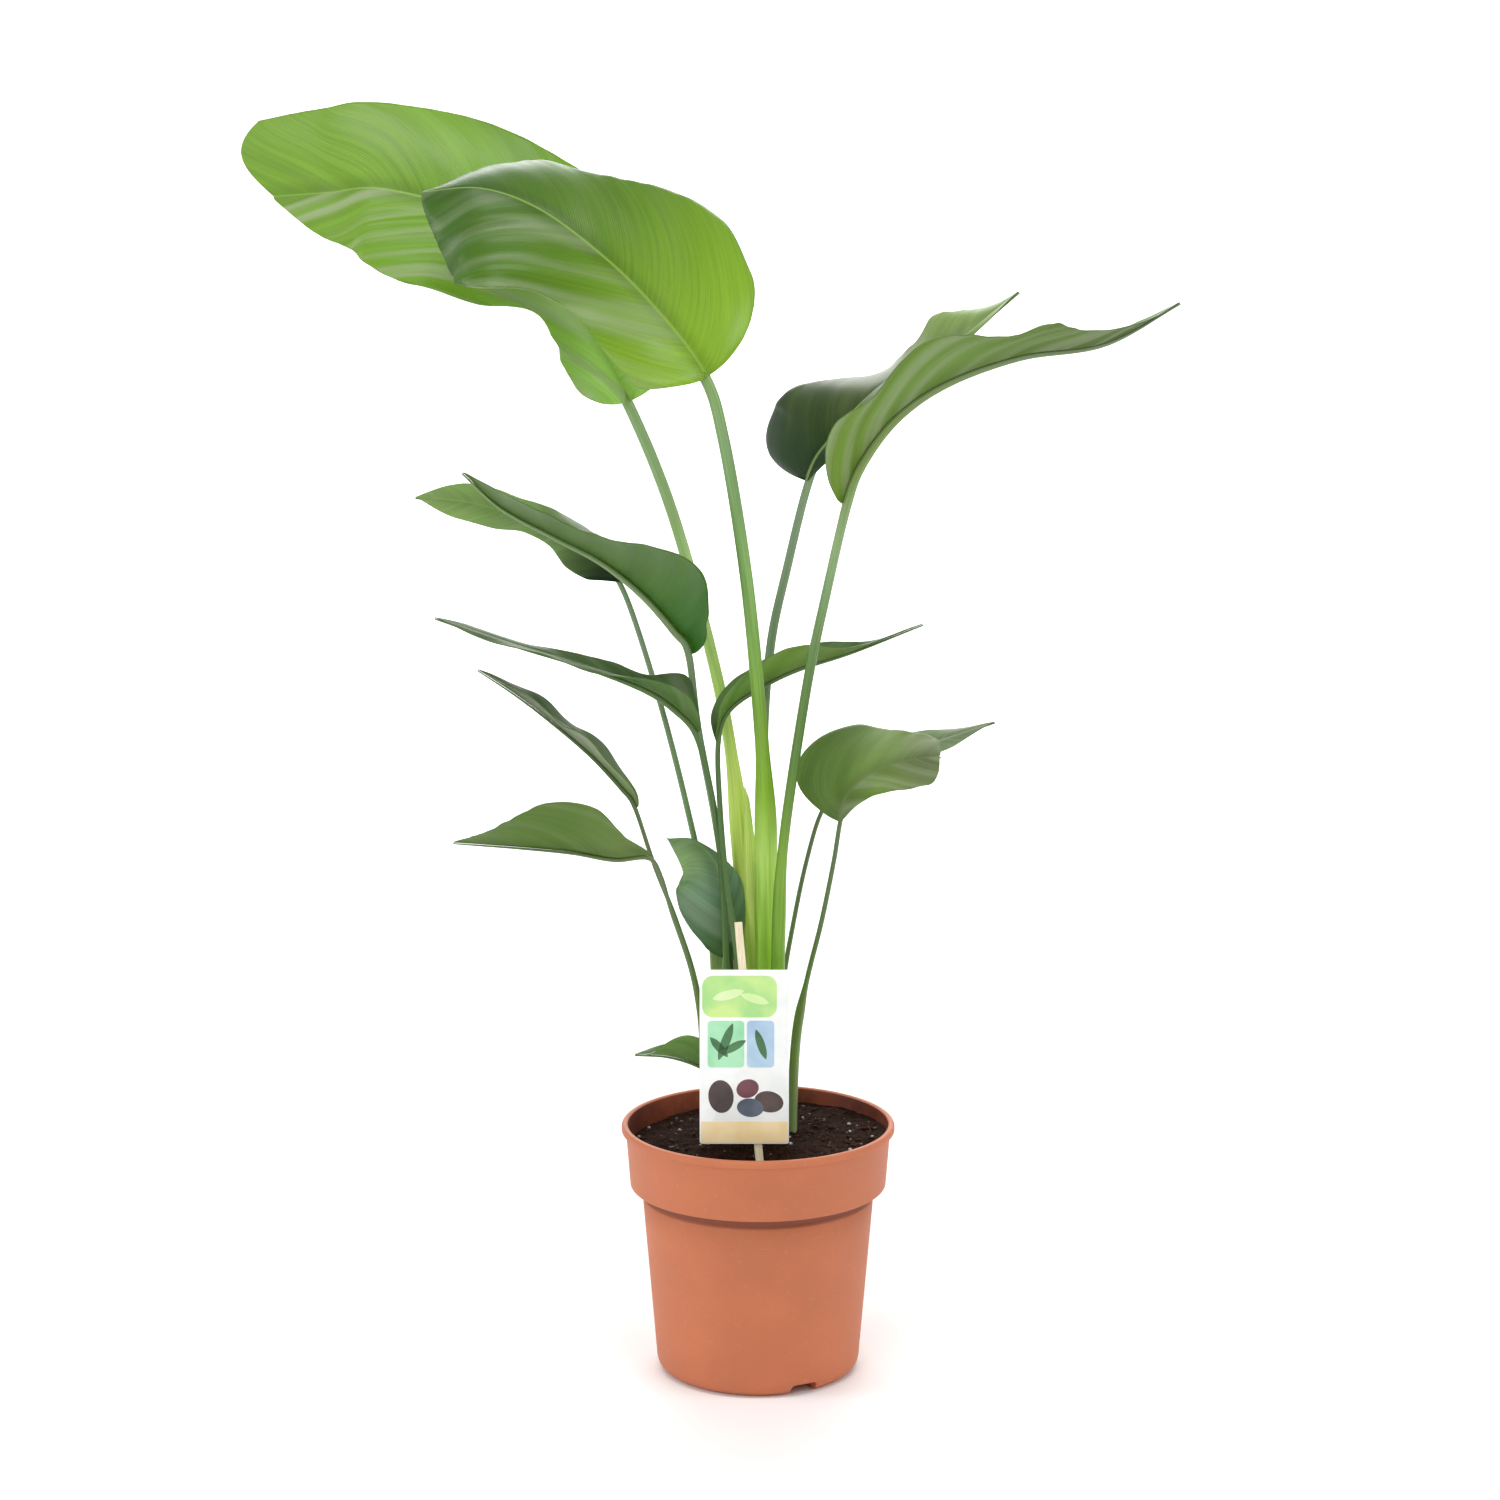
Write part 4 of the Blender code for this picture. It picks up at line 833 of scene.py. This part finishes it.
def potting_mix():
    """Peat-based potting mix: dark warm brown, matt, in crumbs of 1 to 3 mm with pale grit."""
    made, add = start_material("peat_potting_mix")
    coords = add("TexCoord").outputs["Object"]
    crumb = add("TexNoise", {"Vector": coords, "Scale": 420.0, "Detail": 5.0, "Roughness": 0.7})
    body = add("ValToRGB", (crumb,), stops=[(0.30, "#120806"), (0.48, "#24130b"),
                                            (0.62, "#382015"), (0.80, "#5c3a26")])
    # Pale grit of about 1.5 mm
    grit = add("TexVoronoi", {"Vector": coords, "Scale": 520.0}).outputs["Color"]
    pale = add("SeparateXYZ", (grit,))
    chosen = add("Math", (pale, 0.985), operation="GREATER_THAN")
    flecked = add("Mix", {0: chosen, 6: body, 7: "#6d625a"}, data_type="RGBA")
    return finish_material(made, flecked.outputs[2], 0.95, (crumb, 0.8, 0.0012), IOR=1.2)


def grained(name, stretch, stops, rough, strength, depth, **values):
    """A dry natural finish of one grain, stretch being its grains per metre each way."""
    made, add = start_material(name)
    coords = add("TexCoord").outputs["Object"]
    run = add("Mapping", {"Vector": coords, "Scale": stretch})
    grain = add("TexNoise", {"Vector": run, "Scale": 1.0, "Detail": 3.0})
    body = add("ValToRGB", (grain,), stops=stops)
    return finish_material(made, body, rough, (grain, strength, depth), **values)


def make_soil():
    bottom = FOOT_RISE + FLOOR + GAP
    corner = arc(CORNER_RADIUS - WALL - GAP, BODY_BOTTOM_RADIUS - CORNER_RADIUS, CORNER_RADIUS,
                 -90, 0, 4)
    side = [(r, max(h, bottom)) for r, h in corner]
    side += [(inner_radius(BAND_BOTTOM) - GAP, BAND_BOTTOM - 0.0003),
             (inner_radius(BAND_BOTTOM + 0.001) - GAP, BAND_BOTTOM + 0.001 + WALL + 2 * GAP),
             (inner_radius(SOIL_TOP) - GAP, SOIL_TOP)]
    top_radius = side[-1][0]
    rings = 84
    top = [(top_radius * (1 - i / rings), SOIL_TOP) for i in range(1, rings + 1)]
    bm = turned([(0.0, bottom), *side, *top], 240)
    for vert in bm.verts:
        if vert.co.z > SOIL_TOP - 0.0005:
            rim = smooth_step((vert.co.xy.length / top_radius - 0.93) / 0.07)
            height = soil_height(vert.co.x, vert.co.y)
            level = SOIL_TOP + SOIL_SLOPE * vert.co.x + 0.4 * (height - SOIL_TOP)
            vert.co.z = mix(height, level, rim)
    add_piece("potting_soil", bm, [potting_mix()], "soil")
    # Porous crumbs and fibres in two tones, in 1 mm pits
    for name, count, sizes, squash, seed, mineral, dark, light in (
            ("perlite", 24, (0.0007, 0.0017), (1.0, 1.0, 0.8), 3, "expanded_perlite",
             "#8f8a82", "#ccc8bf"),
            ("bark_crumbs", 150, (0.0012, 0.0034), (1.0, 0.55, 0.4), 5, "composted_bark",
             "#1c0f09", "#402618"),
            ("pale_fibres", 60, (0.0022, 0.0050), (1.0, 0.13, 0.12), 8, "peat_fibre",
             "#3a2418", "#5e4230")):
        scatter(name, count, sizes, squash, seed,
                grained(mineral, (900.0, 900.0, 900.0), [(0.35, dark), (0.65, light)], 0.9, 0.6,
                        0.0003, IOR=1.25))


def scatter(name, count, sizes, squash, seed, finish):
    """Crumbs lying half sunk in the soil, in seeded random places."""
    draw = random.Random(seed)
    crumbs = bmesh.new()
    for _ in range(count):
        reach = CRUMB_REACH * math.sqrt(draw.random())
        turn = draw.uniform(0, math.tau)
        x, y = reach * math.cos(turn), reach * math.sin(turn)
        size = draw.uniform(*sizes)
        place = Matrix.Translation((x, y, soil_height(x, y) + 0.25 * size * squash[2]))
        place = place @ Matrix.Rotation(draw.uniform(0, math.tau), 4, "Z")
        place = place @ Matrix.Rotation(draw.uniform(-0.5, 0.5), 4, "X")
        place = place @ Matrix.Diagonal((size, size * squash[1], size * squash[2], 1.0))
        made = bmesh.ops.create_icosphere(crumbs, subdivisions=2, radius=1.0, matrix=place)
        middle = Vector(place.translation)
        for vert in made["verts"]:
            away = vert.co - middle
            bulge = noise.noise(away * (1.4 / size) + Vector((size * 9000, 0, 0)))
            vert.co = middle + away * (1 + 0.45 * bulge)
    add_piece(name, crumbs, [finish])


def label_frame():
    """The card's place and lean, as in the solids."""
    line = STICK_TOP - STICK_FOOT
    tilt = math.atan2(line.y, line.z)
    middle_z = CARD_BOTTOM + 0.5 * CARD_HEIGHT
    share = (middle_z - STICK_FOOT.z) / line.z
    stand_off = (STICK_THICKNESS / 2 + GAP + CARD_THICKNESS / 2 + 0.0001) / math.cos(tilt)
    middle_y = mix(STICK_FOOT.y, STICK_TOP.y, share) - stand_off
    return Matrix.Translation((CARD_MIDDLE_X, middle_y, middle_z)) @ Matrix.Rotation(-tilt, 4, "X")


def printed(name, low, high):
    """Ink on coated card: a soft change of tone and a fine print grain."""
    made, add = start_material(name)
    coords = add("TexCoord").outputs["Object"]
    tone = add("TexNoise", {"Vector": coords, "Scale": 45.0, "Detail": 2.0})
    body = add("ValToRGB", (tone,), stops=[(0.35, low), (0.65, high)])
    grain = add("TexNoise", {"Vector": coords, "Scale": 2500.0, "Detail": 1.0})
    return finish_material(made, body, 0.35, (grain, 0.15, 0.00005), **{"Coat Weight": 0.25})


def flat_shape(bm, outline, height, place):
    """A thin printed patch from an outline in the card's plane, in millimetres."""
    verts = [bm.verts.new((MM * x, 0.0, MM * z)) for x, z in outline]
    face = bm.faces.new(verts)
    grown = bmesh.ops.extrude_face_region(bm, geom=[face])
    moved = [g for g in grown["geom"] if isinstance(g, bmesh.types.BMVert)]
    bmesh.ops.translate(bm, verts=moved, vec=(0.0, -MM * height, 0.0))
    bmesh.ops.transform(bm, matrix=place, verts=verts + moved)


def oval(x, z, wide, high, turn=0.0, point=0.0):
    """An outline of an oval, its two ends drawn out like a leaf's as far as point says."""
    outline = []
    for i in range(40):
        angle = math.tau * i / 40
        dx = wide * math.cos(angle)
        dz = high * math.sin(angle) * (1 - point * math.cos(angle) ** 4)
        outline.append((x + dx * math.cos(turn) - dz * math.sin(turn),
                        z + dx * math.sin(turn) + dz * math.cos(turn)))
    return outline


def panel(left, bottom, right, top, radius):
    """An outline of a panel with round corners."""
    corners = ((right - radius, top - radius, 0), (left + radius, top - radius, 90),
               (left + radius, bottom + radius, 180), (right - radius, bottom + radius, 270))
    return [point for x, z, turn in corners for point in arc(radius, x, z, turn, turn + 90, 6)]


def make_label():
    place = label_frame()
    card = block(CARD_WIDTH, CARD_THICKNESS, CARD_HEIGHT)
    corners = [e for e in card.edges if abs(e.verts[0].co.y - e.verts[1].co.y) > 0.0001]
    bevel(card, corners, 0.002, 6)
    outline = [e for e in card.edges if len({round(v.co.y, 5) for v in e.verts}) == 1]
    bevel(card, outline, 0.00012, 2)
    card.transform(place)
    add_piece("plant_label", card, [printed("coated_card_white", "#eef1ee", "#f8faf8")],
              "label_card", sharp=40)
    front = place @ Matrix.Translation((0.0, -CARD_THICKNESS / 2 + 0.00002, 0.0))
    # Colours, height off the card in millimetres, so that one print lies over another, and outlines
    for name, low, high, height, outlines in (
            ("green_panel", "#a8dc8a", "#cdeb92", 0.08, [panel(-31.5, 30, 24.5, 61.5, 8)]),
            ("blue_panel", "#a3bfda", "#b9d3e6", 0.08, [panel(2, -8, 22.5, 27.5, 3)]),
            ("mint_panel", "#8fd6a4", "#aee6bb", 0.08, [panel(-27.5, -8, 0, 27.5, 3)]),
            ("sprig", "#2f5a38", "#4f8052", 0.14,
             [oval(-14, 11.5, 15, 3.4, 1.2, 0.6), oval(-19, 7.5, 10, 3, 2.3, 0.6),
              oval(-8, 7.5, 10.5, 3, 0.5, 0.6), oval(12.5, 9.5, 12, 3, 1.9, 0.6)]),
            ("dark_stones", "#3a2c2c", "#54423e", 0.14,
             [oval(-17.5, -30, 9.5, 12.5, 0.1), oval(18.5, -34, 11, 8, -0.2)]),
            ("red_stone", "#5c2430", "#74404a", 0.18, [oval(2.5, -24, 8.5, 7, 0.3)]),
            ("grey_stone", "#3e4656", "#5a6474", 0.22, [oval(4.5, -38.5, 10, 7, -0.1)]),
            ("tan_band", "#eccf90", "#f6e0b0", 0.08, [panel(-32.5, -65, 32.5, -49, 1.2)]),
            ("wave", "#d3eda6", "#ecf7cf", 0.14,
             [oval(-12, 47, 12, 3.5, 0.25, 0.5), oval(8, 44, 11, 3.2, -0.3, 0.5)])):
        patch = bmesh.new()
        for shape in outlines:
            flat_shape(patch, shape, height, front)
        bmesh.ops.recalc_face_normals(patch, faces=patch.faces[:])
        add_piece("label_" + name, patch, [printed("ink_" + name, low, high)],
                  sharp=30)
    line = STICK_TOP - STICK_FOOT
    lean = line.normalized()
    across = (Vector((1, 0, 0)) - lean * lean.x).normalized()
    stick = block(STICK_WIDTH, STICK_THICKNESS, line.length)
    long_edges = [e for e in stick.edges if abs(e.verts[0].co.z - e.verts[1].co.z) > 0.1]
    bmesh.ops.subdivide_edges(stick, edges=long_edges, cuts=40)
    ends = [e for e in stick.edges if len(e.link_faces) == 2 and e.calc_face_angle() > 1.0]
    bevel(stick, ends, 0.0005, 3)
    for vert in stick.verts:
        vert.co.x += 0.00012 * noise.noise(Vector((vert.co.x * 90, 1.0, vert.co.z * 60)))
        vert.co.y += 0.00008 * noise.noise(Vector((4.0, vert.co.x * 90, vert.co.z * 60)))
    stick.transform(Matrix.Translation((STICK_TOP + STICK_FOOT) / 2)
                    @ Matrix((across, lean.cross(across), lean)).transposed().to_4x4())
    # Split birch: straight grain lines 0.6 mm apart along its length
    birch = grained("birch_stick", (1700.0, 600.0, 30.0),
                    [(0.35, "#dccaa0"), (0.55, "#eadfc0"), (0.75, "#f2ead2")], 0.65, 0.4, 0.0001)
    add_piece("birch_stick", stick, [birch], "label_stick", sharp=40)


def root_flesh():
    """Fleshy root: pale tan with brown rings 3 mm apart."""
    made, add = start_material("fleshy_root")
    coords = add("TexCoord").outputs["Object"]
    rings = add("TexWave", {"Vector": coords, "Scale": 50.0, "Distortion": 4.0,
                            "Detail": 2.0}, bands_direction="Z")
    body = add("ValToRGB", (rings.outputs["Fac"],), stops=[(0.2, "#8a6a44"), (0.8, "#c9a878")])
    return finish_material(made, body, 0.8)


def make_stage():
    """A pale floor that curves up into a backdrop, soft lights, and the camera."""
    sweep = bmesh.new()
    verts = [sweep.verts.new((-8.0, y, z))
             for y, z in [(-6.0, 0.0), *arc(2.0, 3.0, 2.0, -90, 0, 12), (5.0, 9.0)]]
    edges = [sweep.edges.new(pair) for pair in zip(verts, verts[1:])]
    grown = bmesh.ops.extrude_edge_only(sweep, edges=edges)
    moved = [g for g in grown["geom"] if isinstance(g, bmesh.types.BMVert)]
    bmesh.ops.translate(sweep, verts=moved, vec=(16.0, 0.0, 0.0))
    bmesh.ops.recalc_face_normals(sweep, faces=sweep.faces[:])
    paper = finish_material(start_material("studio_paper")[0], "#fbfbfb", 0.9)
    floor = linked("studio_sweep", mesh_of("studio_sweep", sweep, [paper]))
    floor.data.shade_smooth()
    lights = (("overhead_softbox", (-0.2, -0.75, 3.1), (0.0, 0.0, 0.8), 2.2, 0.55, 32),
              ("left_softbox", (-2.4, -0.5, 1.1), (0.0, 0.0, 0.7), 0.8, 0.8, 12),
              ("right_softbox", (2.3, -0.5, 1.4), (0.0, 0.0, 0.7), 0.8, 0.8, 12),
              ("backdrop_softbox", (0.0, 3.4, 2.6), (0.0, 3.9, 0.0), 3.4, 3.4, 140),
              ("front_softbox", (-1.0, -3.2, 2.0), (0.0, 0.0, 0.5), 1.6, 1.6, 26))
    for name, spot, aim, wide, high, power in lights:
        lamp = bpy.data.lights.new(name, "AREA")
        lamp.shape = "RECTANGLE"
        lamp.size = wide
        lamp.size_y = high
        lamp.energy = power
        made = linked(name, lamp)
        made.location = spot
        made.rotation_euler = (Vector(spot) - Vector(aim)).to_track_quat("Z", "Y").to_euler()
    world = bpy.data.worlds.new("soft_white")
    world.use_nodes = True
    set_inputs(world.node_tree, world.node_tree.nodes["Background"],
               {"Color": "#ffffff", "Strength": 0.52})
    bpy.context.scene.world = world
    bpy.context.scene.view_settings.view_transform = "Standard"
    lens = bpy.data.cameras.new("camera")
    lens.lens = 84.17
    lens.sensor_width = 36.0
    camera = linked("camera", lens)
    camera.location = (-0.0062, -2.6, 0.970)
    camera.rotation_euler = (math.radians(79.45), 0.0, 0.0)
    bpy.context.scene.camera = camera


def main():
    stalks = {kind: stalk_skin(kind + "_stalk", *given) for kind, given in STALKS.items()}
    edges = [leaf_skin(name, (green, green, green), (0.0, 0.0), green, 0.5, 26, 21.0, bump=0.0)
             for name, green in (("young_edge", "#7fa246"), ("grown_edge", "#5a7638"))]
    for index, leaf in enumerate(LEAVES):
        make_leaf(leaf, index, stalks, edges)
    wrapped_sheath("old_sheath_left", stalks["dark"], 349, 8, (-16, -21, -24.5),
                   (13, 12.5, 12.5), 9, (0.12, 0.26))
    wrapped_sheath("old_sheath_middle", stalks["pale_sheath"], 452, -6,
                   (0, -1.5, -2.5, -5, -8.5), (8, 8, 7.5, 6.5, 2), 6, (0.2, 0.27))
    make_pot()
    make_soil()
    make_label()
    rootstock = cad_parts["rootstock"]
    rootstock.data.materials.clear()
    rootstock.data.materials.append(root_flesh())
    make_stage()


main()
